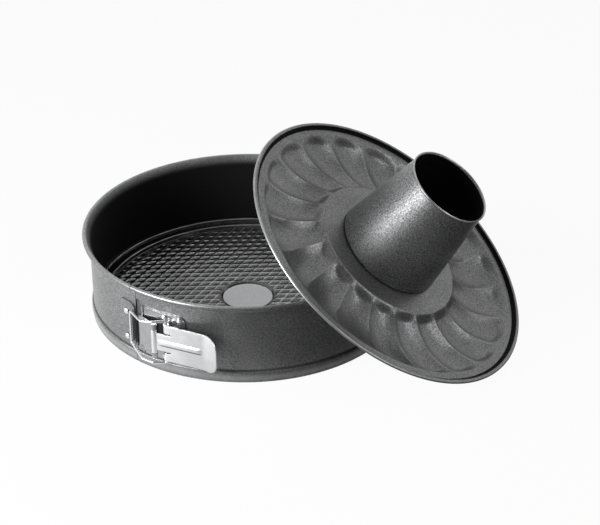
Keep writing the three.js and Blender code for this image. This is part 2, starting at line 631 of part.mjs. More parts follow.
// Lever bracket: a plate on the right end of the ring, folded back and out to two hinge knuckles.
function makeLeverBracket() {
  const seat = RING_OUTER_RADIUS + SEAT_GAP;
  const hinge = polar(azimuthAt(HINGE_ARC), HINGE_RADIUS);
  const foldRadius = BRACKET_SHEET + BRACKET_FOLD;
  const foldCentre = polar(azimuthAt(BRACKET_START), seat + foldRadius);
  const outward = azimuthAt(BRACKET_START);
  const path = ringPoints(BRACKET_END, BRACKET_START, seat, 10);
  for (let turn = 1; turn <= 3; turn += 1) {
    const angle = outward + Math.PI - (turn * Math.PI) / 3;
    path.push(polar(angle, foldRadius).add(foldCentre));
  }
  path.push(hinge);
  const folded = prism(sheetSection(path, -BRACKET_SHEET), BRACKET_BOTTOM, BRACKET_TOP);

  const plateFace = seat + BRACKET_SHEET + SEAT_GAP;
  const overPlate = ringPoints(BRACKET_START, BRACKET_END, plateFace, 10);
  const clearing = sheetSection(overPlate, HINGE_STANDOFF + foldRadius);
  const overFold = ringPoints(BRACKET_START - 2 * foldRadius, BRACKET_START, seat - SEAT_GAP, 2);
  const foldEnd = sheetSection(overFold, HINGE_STANDOFF);
  const bands = [
    [LATCH_HEIGHT + KNUCKLE_END, BRACKET_TOP + SEAT_GAP],
    [BRACKET_BOTTOM - SEAT_GAP, LATCH_HEIGHT - KNUCKLE_END],
  ];
  const trims = bands.flatMap(([low, high]) => [prism(clearing, low, high), prism(foldEnd, low, high)]);
  const knuckles = [1, -1].map((side) => {
    const ends = [side * KNUCKLE_START, side * KNUCKLE_END].sort((a, b) => a - b);
    return rod(BARREL_RADIUS, LATCH_HEIGHT + ends[0], LATCH_HEIGHT + ends[1], hinge.x, hinge.y);
  });
  const roomEnds = [LATCH_HEIGHT - KNUCKLE_START, LATCH_HEIGHT + KNUCKLE_START];
  const room = rod(BARREL_RADIUS + SEAT_GAP, ...roomEnds, hinge.x, hinge.y);
  const bore = rod(BARREL_BORE, BRACKET_BOTTOM, BRACKET_TOP, hinge.x, hinge.y);
  const body = join(cut(toSolid(folded), ...trims.map(toSolid)), ...knuckles.map(toSolid));
  const corners = [
    cornerCut(BRACKET_END, BRACKET_TOP, BRACKET_CORNER, 1, 1),
    cornerCut(BRACKET_END, BRACKET_BOTTOM, BRACKET_CORNER, 1, -1),
  ];
  const holes = rivetPlaces().map((place) => toSolid(rivetHole(place)));
  return toGeometry(cut(body, toSolid(room), toSolid(bore), ...corners.map(toSolid), ...holes));
}

// The hinge pin, with a flat head beyond each knuckle.
function makeHingePin() {
  const head = KNUCKLE_END + SEAT_GAP;
  const path = [
    new THREE.Vector2(0, -head - PIN_HEAD),
    new THREE.Vector2(PIN_HEAD_RADIUS, -head - PIN_HEAD),
    new THREE.Vector2(PIN_HEAD_RADIUS, -head),
    new THREE.Vector2(PIN_RADIUS, -head),
    new THREE.Vector2(PIN_RADIUS, head),
    new THREE.Vector2(PIN_HEAD_RADIUS, head),
    new THREE.Vector2(PIN_HEAD_RADIUS, head + PIN_HEAD),
    new THREE.Vector2(0, head + PIN_HEAD),
  ];
  return closed(revolve(path, RIVET_STEPS));
}

// Face of the lever seen from outside: neck, slits beside the ears and a rounded tip, length along X.
function leverOutline() {
  const half = LEVER_WIDTH / 2;
  const neck = NECK_WIDTH / 2;
  const slitEnd = EAR_REACH + SLIT_LENGTH;
  const end = LEVER_STRAIGHT + LEVER_TIP * Math.cos(radians(LEVER_TIP_BEND));
  const shape = new THREE.Shape();
  shape.moveTo(0, -neck);
  shape.lineTo(slitEnd, -neck);
  shape.lineTo(slitEnd, -EAR_START);
  shape.lineTo(EAR_REACH, -EAR_START);
  shape.lineTo(EAR_REACH, -half);
  shape.lineTo(end - LEVER_CORNER, -half);
  shape.absarc(end - LEVER_CORNER, LEVER_CORNER - half, LEVER_CORNER, -Math.PI / 2, 0, false);
  shape.absarc(end - LEVER_CORNER, half - LEVER_CORNER, LEVER_CORNER, 0, Math.PI / 2, false);
  shape.lineTo(EAR_REACH, half);
  shape.lineTo(EAR_REACH, EAR_START);
  shape.lineTo(slitEnd, EAR_START);
  shape.lineTo(slitEnd, neck);
  shape.lineTo(0, neck);
  return shape;
}

// The raised rib along the lever, as a slot-shaped pad with softened edges.
function leverRib() {
  const radius = RIB_WIDTH / 2 - RIB_RISE / 2;
  const shape = new THREE.Shape();
  shape.absarc(RIB_END - radius, 0, radius, -Math.PI / 2, Math.PI / 2, false);
  shape.absarc(RIB_START + radius, 0, radius, Math.PI / 2, 1.5 * Math.PI, false);
  const soft = { bevelSize: RIB_RISE / 2, bevelThickness: RIB_RISE / 2, bevelSegments: 2 };
  return new THREE.ExtrudeGeometry(shape, { depth: LEVER_SHEET / 2, curveSegments: 5, ...soft });
}

// The lever in its own frame: X outward from the ring, Y along the lever from its hinge, Z up.
function makeLever() {
  const half = LEVER_WIDTH / 2;
  const bend = radians(LEVER_TIP_BEND);
  const tip = new THREE.Vector2(LEVER_TIP * Math.sin(bend), LEVER_STRAIGHT + LEVER_TIP * Math.cos(bend));
  const side = [new THREE.Vector2(0, 0), new THREE.Vector2(0, LEVER_STRAIGHT), tip];
  const sheet = prism(sheetSection(side, LEVER_SHEET), -half, half).translate(-LEVER_SHEET / 2, 0, 0);
  const depth = LEVER_TIP + 2 * LEVER_SHEET;
  const face = prism(leverOutline(), -depth, depth).rotateX(Math.PI / 2).rotateZ(Math.PI / 2);
  const rib = leverRib().rotateX(Math.PI / 2).rotateZ(Math.PI / 2);
  const ears = [1, -1].map((end) => {
    const ends = [end * EAR_START, end * half].sort((a, b) => a - b);
    return rod(EAR_RADIUS, ends[0], ends[1], -EAR_DROP, EAR_REACH);
  });
  const barrel = rod(BARREL_RADIUS, -BARREL_HALF, BARREL_HALF);
  const pinBore = rod(BARREL_BORE, -half, half);
  const earBore = rod(EAR_BORE, -LEVER_WIDTH, LEVER_WIDTH, -EAR_DROP, EAR_REACH);
  const plate = toSolid(sheet).intersect(toSolid(face));
  const body = join(plate, toSolid(rib), toSolid(barrel), ...ears.map(toSolid));
  return toGeometry(cut(body, toSolid(pinBore), toSolid(earBore)));
}

// A path through points in space with each corner rounded off.
function roundedPath(points, radius) {
  const path = new THREE.CurvePath();
  let from = points[0];
  for (let i = 1; i < points.length; i += 1) {
    const corner = points[i];
    const next = points[i + 1];
    if (!next) {
      path.add(new THREE.LineCurve3(from, corner));
      break;
    }
    const inward = Math.min(radius, corner.distanceTo(points[i - 1]) / 2);
    const outward = Math.min(radius, corner.distanceTo(next) / 2);
    const start = corner.clone().lerp(points[i - 1], inward / corner.distanceTo(points[i - 1]));
    const end = corner.clone().lerp(next, outward / corner.distanceTo(next));
    path.add(new THREE.LineCurve3(from, start));
    path.add(new THREE.QuadraticBezierCurve3(start, corner, end));
    from = end;
  }
  return path;
}

// Route of the bail's wire in the lever's frame, from one ear over the hinge to the hook and back.
function bailRoute(hook) {
  const wide = BAIL_EAR_WIDTH / 2;
  const narrow = BAIL_REST_WIDTH / 2;
  const middle = new THREE.Vector2(BAIL_BOW, -EAR_REACH).lerp(hook, 0.3);
  const upper = [
    new THREE.Vector3(-EAR_DROP, EAR_REACH, EAR_START + SEAT_GAP),
    new THREE.Vector3(-EAR_DROP, EAR_REACH, wide),
    new THREE.Vector3(BAIL_BOW, 0, wide),
    new THREE.Vector3(BAIL_BOW, -EAR_REACH, THREE.MathUtils.lerp(wide, narrow, 0.4)),
    new THREE.Vector3(middle.x, middle.y, THREE.MathUtils.lerp(wide, narrow, 0.6)),
    new THREE.Vector3(hook.x, hook.y, narrow),
  ];
  const lower = upper.map((point) => point.clone().setZ(-point.z)).reverse();
  return roundedPath([...upper, ...lower], BAIL_BEND);
}

function makeBail(hook) {
  const round = new THREE.Shape();
  round.absarc(0, 0, WIRE_RADIUS, 0, 2 * Math.PI, false);
  const options = { steps: WIRE_STEPS, extrudePath: bailRoute(hook), curveSegments: WIRE_SIDES / 2 };
  return closed(new THREE.ExtrudeGeometry(round, options));
}

function named(name, geometry, material) {
  const mesh = new THREE.Mesh(geometry, material);
  mesh.name = name;
  return mesh;
}

// The lever and its bail turn on the hinge pin, in a frame set along the closed lever.
function makeLatch() {
  const group = new THREE.Group();
  const hinge = polar(azimuthAt(HINGE_ARC), HINGE_RADIUS);
  const heading = azimuthAt(HINGE_ARC) + radians(LEVER_SLOPE);
  const hook = polar(azimuthAt(HOOK_ARC), RING_OUTER_RADIUS + HOOK_STANDOFF).sub(hinge);
  hook.rotateAround(new THREE.Vector2(), -heading);
  group.position.set(hinge.x, hinge.y, LATCH_HEIGHT);
  group.quaternion.setFromAxisAngle(UP, heading);
  group.add(named('hinge_pin', makeHingePin(), RIVET_STEEL));
  group.add(named('latch_lever', makeLever(), BRIGHT_STEEL));
  group.add(named('wire_bail', makeBail(hook), BRIGHT_STEEL));
  return group;
}

function makeRivets() {
  return rivetPlaces().map(({ name, arc, height, sheet }) => {
    const rivet = named(name, makeRivet(sheet), RIVET_STEEL);
    rivet.position.z = height;
    rivet.rotation.z = azimuthAt(arc);
    return rivet;
  });
}

const tin = new THREE.Group();
tin.add(named('flat_base', makeFlatBase(), BASE_COATING));
tin.add(named('side_band', makeSideBand(), RING_COATING));
tin.add(named('keeper_bracket', makeKeeper(), RING_COATING));
tin.add(named('lever_bracket', makeLeverBracket(), BRIGHT_STEEL));
tin.add(...makeRivets());
tin.add(makeLatch());
tin.add(makeTubeBase());

export default tin;
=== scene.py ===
"""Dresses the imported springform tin: fine meshes, coatings and steel, the studio and the camera.

Sizes are in millimetres in the classes below and become metres when a mesh is made.
"""

import logging
import math
from collections.abc import Callable, Sequence
from dataclasses import dataclass, field
from enum import Enum

import bmesh
import bpy
import numpy as np
from mathutils import Matrix, Vector


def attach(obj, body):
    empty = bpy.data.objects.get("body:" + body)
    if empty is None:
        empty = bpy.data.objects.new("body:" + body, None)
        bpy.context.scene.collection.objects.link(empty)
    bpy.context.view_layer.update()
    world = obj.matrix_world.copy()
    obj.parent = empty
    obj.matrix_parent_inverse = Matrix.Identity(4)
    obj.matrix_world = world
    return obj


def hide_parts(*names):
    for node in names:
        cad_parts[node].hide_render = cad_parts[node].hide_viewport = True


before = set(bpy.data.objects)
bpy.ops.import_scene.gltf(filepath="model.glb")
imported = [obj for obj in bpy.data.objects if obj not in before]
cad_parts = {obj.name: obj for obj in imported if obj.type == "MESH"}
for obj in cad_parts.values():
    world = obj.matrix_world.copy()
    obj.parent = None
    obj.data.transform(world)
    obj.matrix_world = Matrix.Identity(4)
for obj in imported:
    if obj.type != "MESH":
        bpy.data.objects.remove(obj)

LOG = logging.getLogger("springform_tin")
MM = 0.001

Point = tuple[float, float]
Place = tuple[float, float, float]
Faces = list[tuple[int, ...]]
Part = tuple[np.ndarray, Faces]
Share = Callable[[np.ndarray, np.ndarray], np.ndarray]


class Body(Enum):
    """The rigid bodies of the frame that pieces ride on."""

    BASE = "base"
    RING = "ring"
    LEVER = "lever"
    BAIL = "bail"
    TUBE_BASE = "tube_base"


class Slot(Enum):
    """The record's material slots."""

    RING = "ring_coating"
    BASE = "base_coating"
    PLATE = "plate_coating"
    TUBE = "tube_coating"
    STEEL = "bright_steel"
    WIRE = "wire_steel"
    RIVET = "rivet_steel"


# Paths and meshes


def smoothstep(value: np.ndarray | float, low: float, high: float) -> np.ndarray | float:
    """Eases from 0 at low to 1 at high."""
    share = np.clip((np.asarray(value, float) - low) / (high - low), 0.0, 1.0)
    return share * share * (3.0 - 2.0 * share)


def rounded(corners: Sequence[tuple[float, ...]], steps: int = 5) -> list[Vector]:
    """Rounds the corners of a path.

    Args:
        corners: Points of two or three coordinates, each followed by its corner radius.
        steps: Pieces that each rounded corner is made of.

    Returns:
        The points of the rounded path.
    """
    points = [Vector(corner[:-1]) for corner in corners]
    path = [points[0]]
    for i in range(1, len(points) - 1):
        radius = corners[i][-1]
        back, ahead = points[i - 1] - points[i], points[i + 1] - points[i]
        turn = math.pi - back.angle(ahead)
        reach = radius * math.tan(turn / 2)
        if reach < 1e-6:
            path.append(points[i])
            continue
        start = points[i] + back.normalized() * min(reach, back.length * 0.49)
        end = points[i] + ahead.normalized() * min(reach, ahead.length * 0.49)
        for step in range(steps + 1):
            t = step / steps
            path.append(start * (1 - t) ** 2 + points[i] * (2 * t * (1 - t)) + end * t**2)
    path.append(points[-1])
    return path


def arc(centre: Point, radius: float, start: float, end: float, steps: int) -> list[Vector]:
    """Points on a flat arc between two angles in degrees."""
    turns = [math.radians(start + (end - start) * i / steps) for i in range(steps + 1)]
    return [Vector((centre[0] + radius * math.cos(a), centre[1] + radius * math.sin(a))) for a in turns]


def sheet_loop(path: Sequence[Vector], thickness: float) -> list[Vector]:
    """Closes a path into the section of a sheet.

    Args:
        path: One face of the sheet.
        thickness: How far the other face lies to the right of the path, or to its left if negative.

    Returns:
        The closed section, without a repeated last point.
    """
    offsets = []
    for i, point in enumerate(path):
        before = (point - path[i - 1]).normalized() if i > 0 else None
        after = (path[i + 1] - point).normalized() if i < len(path) - 1 else None
        first, second = before or after, after or before
        normal = Vector((first.y + second.y, -first.x - second.x))
        offsets.append(point + normal * (thickness / max(1 + first.dot(second), 0.4)))
    return [*path, *reversed(offsets)]


def lathe(section: Sequence[Vector], steps: int) -> Part:
    """Turns a section of radius and height once round the Z axis.

    Args:
        section: A closed loop, or a path whose two ends lie on the axis.
        steps: Pieces round the axis.

    Returns:
        The vertices and the faces.
    """
    on_axis = section[0].x < 1e-9
    turns = np.linspace(0.0, 2 * math.pi, steps, endpoint=False)
    inner = section[1:-1] if on_axis else section
    rings = np.array([[p.x, p.y] for p in inner])
    verts = np.empty((len(rings), steps, 3))
    verts[:, :, 0] = rings[:, :1] * np.cos(turns)
    verts[:, :, 1] = rings[:, :1] * np.sin(turns)
    verts[:, :, 2] = rings[:, 1:]
    last = len(rings) - 1 if on_axis else len(rings)
    faces: Faces = []
    for ring in range(last):
        a, b = ring * steps, (ring + 1) % len(rings) * steps
        for i in range(steps):
            j = (i + 1) % steps
            faces.append((a + i, b + i, b + j, a + j))
    points = verts.reshape(-1, 3)
    if on_axis:
        count = len(points)
        points = np.vstack([points, [0, 0, section[0].y], [0, 0, section[-1].y]])
        end = (len(rings) - 1) * steps
        for i in range(steps):
            j = (i + 1) % steps
            faces.append((count, i, j))
            faces.append((count + 1, end + j, end + i))
    return points, faces


def tube_along(path: Sequence[Vector], radius: float, sides: int = 16) -> Part:
    """Draws a round wire along a path in space, with domed ends.

    Args:
        path: The points of the wire's middle line.
        radius: The wire's radius.
        sides: Pieces round the wire.

    Returns:
        The vertices and the faces.
    """
    tangents = []
    for i in range(len(path)):
        ahead, behind = path[min(i + 1, len(path) - 1)], path[max(i - 1, 0)]
        tangents.append((ahead - behind).normalized())
    normal = tangents[0].orthogonal().normalized()
    rings: list[tuple[Vector, Vector, Vector, float]] = []
    for i, (point, tangent) in enumerate(zip(path, tangents)):
        normal = (normal - tangent * normal.dot(tangent)).normalized()
        binormal = tangent.cross(normal)
        if i == 0:
            for lean in (75, 45):
                back = tangent * (radius * math.sin(math.radians(lean)))
                rings.append((point - back, normal.copy(), binormal, radius * math.cos(math.radians(lean))))
        rings.append((point, normal.copy(), binormal, radius))
        if i == len(path) - 1:
            for lean in (45, 75):
                on = tangent * (radius * math.sin(math.radians(lean)))
                rings.append((point + on, normal.copy(), binormal, radius * math.cos(math.radians(lean))))
    verts = []
    for centre, first, second, size in rings:
        for i in range(sides):
            a = 2 * math.pi * i / sides
            verts.append(centre + first * (size * math.cos(a)) + second * (size * math.sin(a)))
    faces: Faces = []
    for ring in range(len(rings) - 1):
        a, b = ring * sides, (ring + 1) * sides
        for i in range(sides):
            j = (i + 1) % sides
            faces.append((a + i, a + j, b + j, b + i))
    end = (len(rings) - 1) * sides
    faces.append(tuple(reversed(range(sides))))
    faces.append(tuple(range(end, end + sides)))
    return np.array(verts), faces


def merge(*parts: Part) -> Part:
    """Puts several meshes into one list of vertices and one of faces.

    Args:
        parts: The vertices and the faces of each.

    Returns:
        One list of vertices and one of faces.
    """
    verts: list[np.ndarray] = []
    faces: Faces = []
    start = 0
    for points, polygons in parts:
        verts.append(np.asarray(points, float))
        faces.extend(tuple(i + start for i in polygon) for polygon in polygons)
        start += len(points)
    return np.vstack(verts), faces


def moved(part: Part, matrix: Matrix) -> Part:
    """Places a mesh with a matrix in millimetres.

    Args:
        part: Its vertices and faces.
        matrix: Its placement, in millimetres.

    Returns:
        The placed vertices, and the faces as they were.
    """
    turn = np.array(matrix.to_3x3())
    shift = np.array(matrix.to_translation())
    return np.asarray(part[0], float) @ turn.T + shift, part[1]


def make_piece(name: str, part: Part, sharp: float = 40.0) -> bpy.types.Object:
    """Makes a smooth-shaded object of a mesh in millimetres.

    Args:
        name: The piece's name.
        part: Its vertices and faces.
        sharp: Edges that turn by more than this, in degrees, stay crisp.

    Returns:
        The new object, linked to the scene.
    """
    mesh = bpy.data.meshes.new(name)
    mesh.from_pydata((np.asarray(part[0]) * MM).tolist(), [], part[1])
    work = bmesh.new()
    work.from_mesh(mesh)
    bmesh.ops.remove_doubles(work, verts=work.verts, dist=1e-7)
    bmesh.ops.recalc_face_normals(work, faces=work.faces)
    work.to_mesh(mesh)
    work.free()
    smooth(mesh, sharp)
    piece = bpy.data.objects.new(name, mesh)
    bpy.context.scene.collection.objects.link(piece)
    return piece


def smooth(mesh: bpy.types.Mesh, sharp: float) -> None:
    """Shades a mesh smooth and keeps the edges that turn by more than an angle in degrees."""
    mesh.shade_smooth()
    mesh.set_sharp_from_angle(angle=math.radians(sharp))


def mark(mesh: bpy.types.Mesh, name: str, share: Share) -> None:
    """Stores a value from 0 to 1 on each vertex.

    Args:
        mesh: The mesh.
        name: Name of the stored value.
        share: A function of the vertices' places in millimetres and of their normals.
    """
    places = np.empty(len(mesh.vertices) * 3)
    mesh.vertices.foreach_get("co", places)
    normals = np.empty(len(mesh.vertices) * 3)
    mesh.vertices.foreach_get("normal", normals)
    values = np.clip(share(places.reshape(-1, 3) / MM, normals.reshape(-1, 3)), 0.0, 1.0)
    mesh.attributes.new(name, "FLOAT", "POINT").data.foreach_set("value", values.astype(np.float32))


def settle(piece: bpy.types.Object) -> None:
    """Applies a piece's modifiers to its mesh.

    Args:
        piece: The object, whose old mesh is removed.
    """
    graph = bpy.context.evaluated_depsgraph_get()
    done = bpy.data.meshes.new_from_object(piece.evaluated_get(graph))
    old = piece.data
    piece.modifiers.clear()
    piece.data = done
    bpy.data.meshes.remove(old)
    done.name = piece.name


def soften(piece: bpy.types.Object, width: float, sharp: float = 30.0) -> None:
    """Rounds the sharp edges of a piece by a width in millimetres.

    Args:
        piece: The object.
        width: Width of the rounding, in millimetres.
        sharp: Edges that turn by more than this, in degrees, are rounded.
    """
    bevel = piece.modifiers.new("soft_edges", "BEVEL")
    bevel.width = width * MM
    bevel.segments = 2
    bevel.limit_method = "ANGLE"
    bevel.angle_limit = math.radians(sharp)
    bevel.harden_normals = False


# Finishes


def group_socket(
    tree: bpy.types.NodeTree, name: str, kind: str, side: str, value: float | None = None
) -> None:
    """Adds a named socket to a node group.

    Args:
        tree: The group.
        name: The socket's name.
        kind: "Float", "Color" or "Vector".
        side: "INPUT" or "OUTPUT".
        value: The default of a Float input.
    """
    socket = tree.interface.new_socket(name=name, in_out=side, socket_type=f"NodeSocket{kind}")
    if value is not None:
        socket.default_value = value


def add_node(
    tree: bpy.types.NodeTree, kind: str, values: dict[str, object] | None = None, **options: object
) -> bpy.types.Node:
    """Adds a shader node.

    Args:
        tree: The nodes that it joins.
        kind: Its type.
        values: Constants of its inputs, by the inputs' names.
        options: Settings of the node itself.

    Returns:
        The node.
    """
    made = tree.nodes.new(kind)
    for name, option in options.items():
        setattr(made, name, option)
    for name, value in (values or {}).items():
        made.inputs[name].default_value = value
    return made


class Effect(Enum):
    """Shared surface effects, each one shader node group."""

    SPECKLE = "coating_speckle"
    GRAIN = "drawn_grain"
    # Painted highlight on edges, crowns and ridges, and painted shade in hollows and inside the tin.
    PAINTED_LIGHT = "painted_light_marks"

    def tree(self) -> bpy.types.NodeTree:
        """Returns the effect's node group, built the first time it is asked for.

        Returns:
            The node group.
        """
        known = bpy.data.node_groups.get(self.value)
        if known:
            return known
        made = bpy.data.node_groups.new(self.value, "ShaderNodeTree")
        builders = {Effect.SPECKLE: build_speckle, Effect.GRAIN: build_grain, Effect.PAINTED_LIGHT: build_painted_light}
        builders[self](made)
        return made


def build_speckle(tree: bpy.types.NodeTree) -> None:
    """Fills the group of a sprayed coating: fine light and dark grains, faint clouds and a pebbled height.

    Args:
        tree: The empty group.
    """
    group_socket(tree, "Dark", "Color", "INPUT")
    group_socket(tree, "Light", "Color", "INPUT")
    group_socket(tree, "Scale", "Float", "INPUT", 1400.0)
    group_socket(tree, "Colour", "Color", "OUTPUT")
    group_socket(tree, "Gloss", "Float", "OUTPUT")
    group_socket(tree, "Height", "Float", "OUTPUT")
    link = tree.links.new
    given, out = tree.nodes.new("NodeGroupInput"), tree.nodes.new("NodeGroupOutput")
    place = add_node(tree, "ShaderNodeTexCoord")
    grains = add_node(tree, "ShaderNodeTexNoise", {"Detail": 2.0, "Roughness": 0.7})
    link(place.outputs["Object"], grains.inputs["Vector"])
    link(given.outputs["Scale"], grains.inputs["Scale"])
    clouds = add_node(tree, "ShaderNodeTexNoise", {"Scale": 26.0, "Detail": 3.0})
    link(place.outputs["Object"], clouds.inputs["Vector"])
    spread = add_node(tree, "ShaderNodeMapRange", {"From Min": 0.36, "From Max": 0.66})
    link(grains.outputs["Fac"], spread.inputs["Value"])
    limits = {"From Min": 0.3, "From Max": 0.7, "To Min": -0.12, "To Max": 0.12}
    drift = add_node(tree, "ShaderNodeMapRange", limits)
    link(clouds.outputs["Fac"], drift.inputs["Value"])
    total = add_node(tree, "ShaderNodeMath", use_clamp=True)
    link(spread.outputs["Result"], total.inputs[0])
    link(drift.outputs["Result"], total.inputs[1])
    blend = add_node(tree, "ShaderNodeMix", data_type="RGBA")
    link(total.outputs["Value"], blend.inputs["Factor"])
    link(given.outputs["Dark"], blend.inputs["A"])
    link(given.outputs["Light"], blend.inputs["B"])
    link(blend.outputs["Result"], out.inputs["Colour"])
    link(total.outputs["Value"], out.inputs["Gloss"])
    link(grains.outputs["Fac"], out.inputs["Height"])


def build_grain(tree: bpy.types.NodeTree) -> None:
    """Fills the group of rolled or drawn steel: fine lines along one way and faint smudges.

    Args:
        tree: The empty group.
    """
    group_socket(tree, "Stretch", "Vector", "INPUT")
    group_socket(tree, "Lines", "Float", "OUTPUT")
    group_socket(tree, "Smudge", "Float", "OUTPUT")
    link = tree.links.new
    given, out = tree.nodes.new("NodeGroupInput"), tree.nodes.new("NodeGroupOutput")
    place = add_node(tree, "ShaderNodeTexCoord")
    stretched = add_node(tree, "ShaderNodeVectorMath", operation="MULTIPLY")
    link(place.outputs["Object"], stretched.inputs[0])
    link(given.outputs["Stretch"], stretched.inputs[1])
    lines = add_node(tree, "ShaderNodeTexNoise", {"Scale": 1.0, "Detail": 4.0})
    link(stretched.outputs["Vector"], lines.inputs["Vector"])
    smudge = add_node(tree, "ShaderNodeTexNoise", {"Scale": 140.0, "Detail": 3.0})
    link(place.outputs["Object"], smudge.inputs["Vector"])
    link(lines.outputs["Fac"], out.inputs["Lines"])
    link(smudge.outputs["Fac"], out.inputs["Smudge"])


def build_painted_light(tree: bpy.types.NodeTree) -> None:
    """Fills the group that reads the stored painted shade and breaks up the stored painted highlight into
    uneven shine.

    Args:
        tree: The empty group.
    """
    group_socket(tree, "Amount", "Float", "INPUT", 1.0)
    group_socket(tree, "Mask", "Float", "OUTPUT")
    group_socket(tree, "PaintedShade", "Float", "OUTPUT")
    link = tree.links.new
    given, out = tree.nodes.new("NodeGroupInput"), tree.nodes.new("NodeGroupOutput")
    stored = add_node(tree, "ShaderNodeAttribute", attribute_name="painted_highlight")
    place = add_node(tree, "ShaderNodeTexCoord")
    patches = add_node(tree, "ShaderNodeTexNoise", {"Scale": 90.0, "Detail": 4.0})
    link(place.outputs["Object"], patches.inputs["Vector"])
    limits = {"From Min": 0.25, "From Max": 0.65, "To Min": 0.45}
    uneven = add_node(tree, "ShaderNodeMapRange", limits)
    link(patches.outputs["Fac"], uneven.inputs["Value"])
    painted_marks = add_node(tree, "ShaderNodeMath", operation="MULTIPLY")
    link(stored.outputs["Fac"], painted_marks.inputs[0])
    link(uneven.outputs["Result"], painted_marks.inputs[1])
    scaled = add_node(tree, "ShaderNodeMath", operation="MULTIPLY", use_clamp=True)
    link(painted_marks.outputs["Value"], scaled.inputs[0])
    link(given.outputs["Amount"], scaled.inputs[1])
    link(scaled.outputs["Value"], out.inputs["Mask"])
    # The stored painted shade: near-black faces where shade falls.
    painted_dark = add_node(tree, "ShaderNodeAttribute", attribute_name="painted_shade")
    link(painted_dark.outputs["Fac"], out.inputs["PaintedShade"])


def grey(value: float, alpha: float = 1.0) -> tuple[float, float, float, float]:
    """A neutral linear colour with the faint cool cast of the coating."""
    return (value * 0.99, value * 0.995, value * 1.01, alpha)


@dataclass(frozen=True)
class Coating:
    """A speckled non-stick coating.

    Attributes:
        name: The material's name.
        dark: Linear grey of its dark grains.
        light: Linear grey of its light grains.
        roughness: Roughness of the plain coating.
        specular: Specular level.
        metallic: How metallic the flakes make it.
        bump: Depth of the pebbled spray, in millimetres.
        scale: Grains per metre.
        painted_highlight: How strongly the stored painted highlight shows on edges and crowns.
        highlight_grey: Linear grey of the painted highlight.
        painted_shade: Linear grey of the painted shade on the faces that are marked for it.
        highlight_roughness: Roughness of the painted highlight.
        shade_roughness: Roughness of the painted shade.
    """

    name: str
    dark: float
    light: float
    roughness: float
    specular: float = 0.3
    metallic: float = 0.0
    bump: float = 0.05
    scale: float = 900.0
    painted_highlight: float = 0.8
    highlight_grey: float = 0.5
    painted_shade: float = 0.012
    highlight_roughness: float = 0.25
    shade_roughness: float = 0.85

    def material(self) -> bpy.types.Material:
        """Returns the coating's material, built the first time it is asked for.

        Returns:
            The material.
        """
        known = bpy.data.materials.get(self.name)
        if known:
            return known
        made = bpy.data.materials.new(self.name)
        made.use_nodes = True
        tree, link = made.node_tree, made.node_tree.links.new
        shader = tree.nodes["Principled BSDF"]
        shader.inputs["Specular IOR Level"].default_value = self.specular
        shader.inputs["Metallic"].default_value = self.metallic
        grains = {"Dark": grey(self.dark), "Light": grey(self.light), "Scale": self.scale}
        speckle = add_node(tree, "ShaderNodeGroup", grains, node_tree=Effect.SPECKLE.tree())
        painted_marks = add_node(tree, "ShaderNodeGroup", {"Amount": self.painted_highlight}, node_tree=Effect.PAINTED_LIGHT.tree())
        # Painted shade: faces marked for it turn near black.
        painted_dark = add_node(tree, "ShaderNodeMix", {"B": grey(self.painted_shade)}, data_type="RGBA")
        link(painted_marks.outputs["PaintedShade"], painted_dark.inputs["Factor"])
        link(speckle.outputs["Colour"], painted_dark.inputs["A"])
        # Painted highlight: marked edges and crowns turn light grey.
        bright = add_node(tree, "ShaderNodeMix", {"B": grey(self.highlight_grey)}, data_type="RGBA")
        link(painted_marks.outputs["Mask"], bright.inputs["Factor"])
        link(painted_dark.outputs["Result"], bright.inputs["A"])
        link(bright.outputs["Result"], shader.inputs["Base Color"])
        limits = {"To Min": self.roughness + 0.06, "To Max": self.roughness - 0.06}
        gloss = add_node(tree, "ShaderNodeMapRange", limits)
        link(speckle.outputs["Gloss"], gloss.inputs["Value"])
        # Rougher where shade is painted.
        shade_gloss = add_node(tree, "ShaderNodeMix", {"B": self.shade_roughness})
        link(painted_marks.outputs["PaintedShade"], shade_gloss.inputs["Factor"])
        link(gloss.outputs["Result"], shade_gloss.inputs["A"])
        # Glossier where the highlight is painted.
        highlight_gloss = add_node(tree, "ShaderNodeMix", {"B": self.highlight_roughness})
        link(painted_marks.outputs["Mask"], highlight_gloss.inputs["Factor"])
        link(shade_gloss.outputs["Result"], highlight_gloss.inputs["A"])
        link(highlight_gloss.outputs["Result"], shader.inputs["Roughness"])
        bump = add_node(tree, "ShaderNodeBump", {"Strength": 0.6, "Distance": self.bump * MM})
        link(speckle.outputs["Height"], bump.inputs["Height"])
        link(bump.outputs["Normal"], shader.inputs["Normal"])
        return made


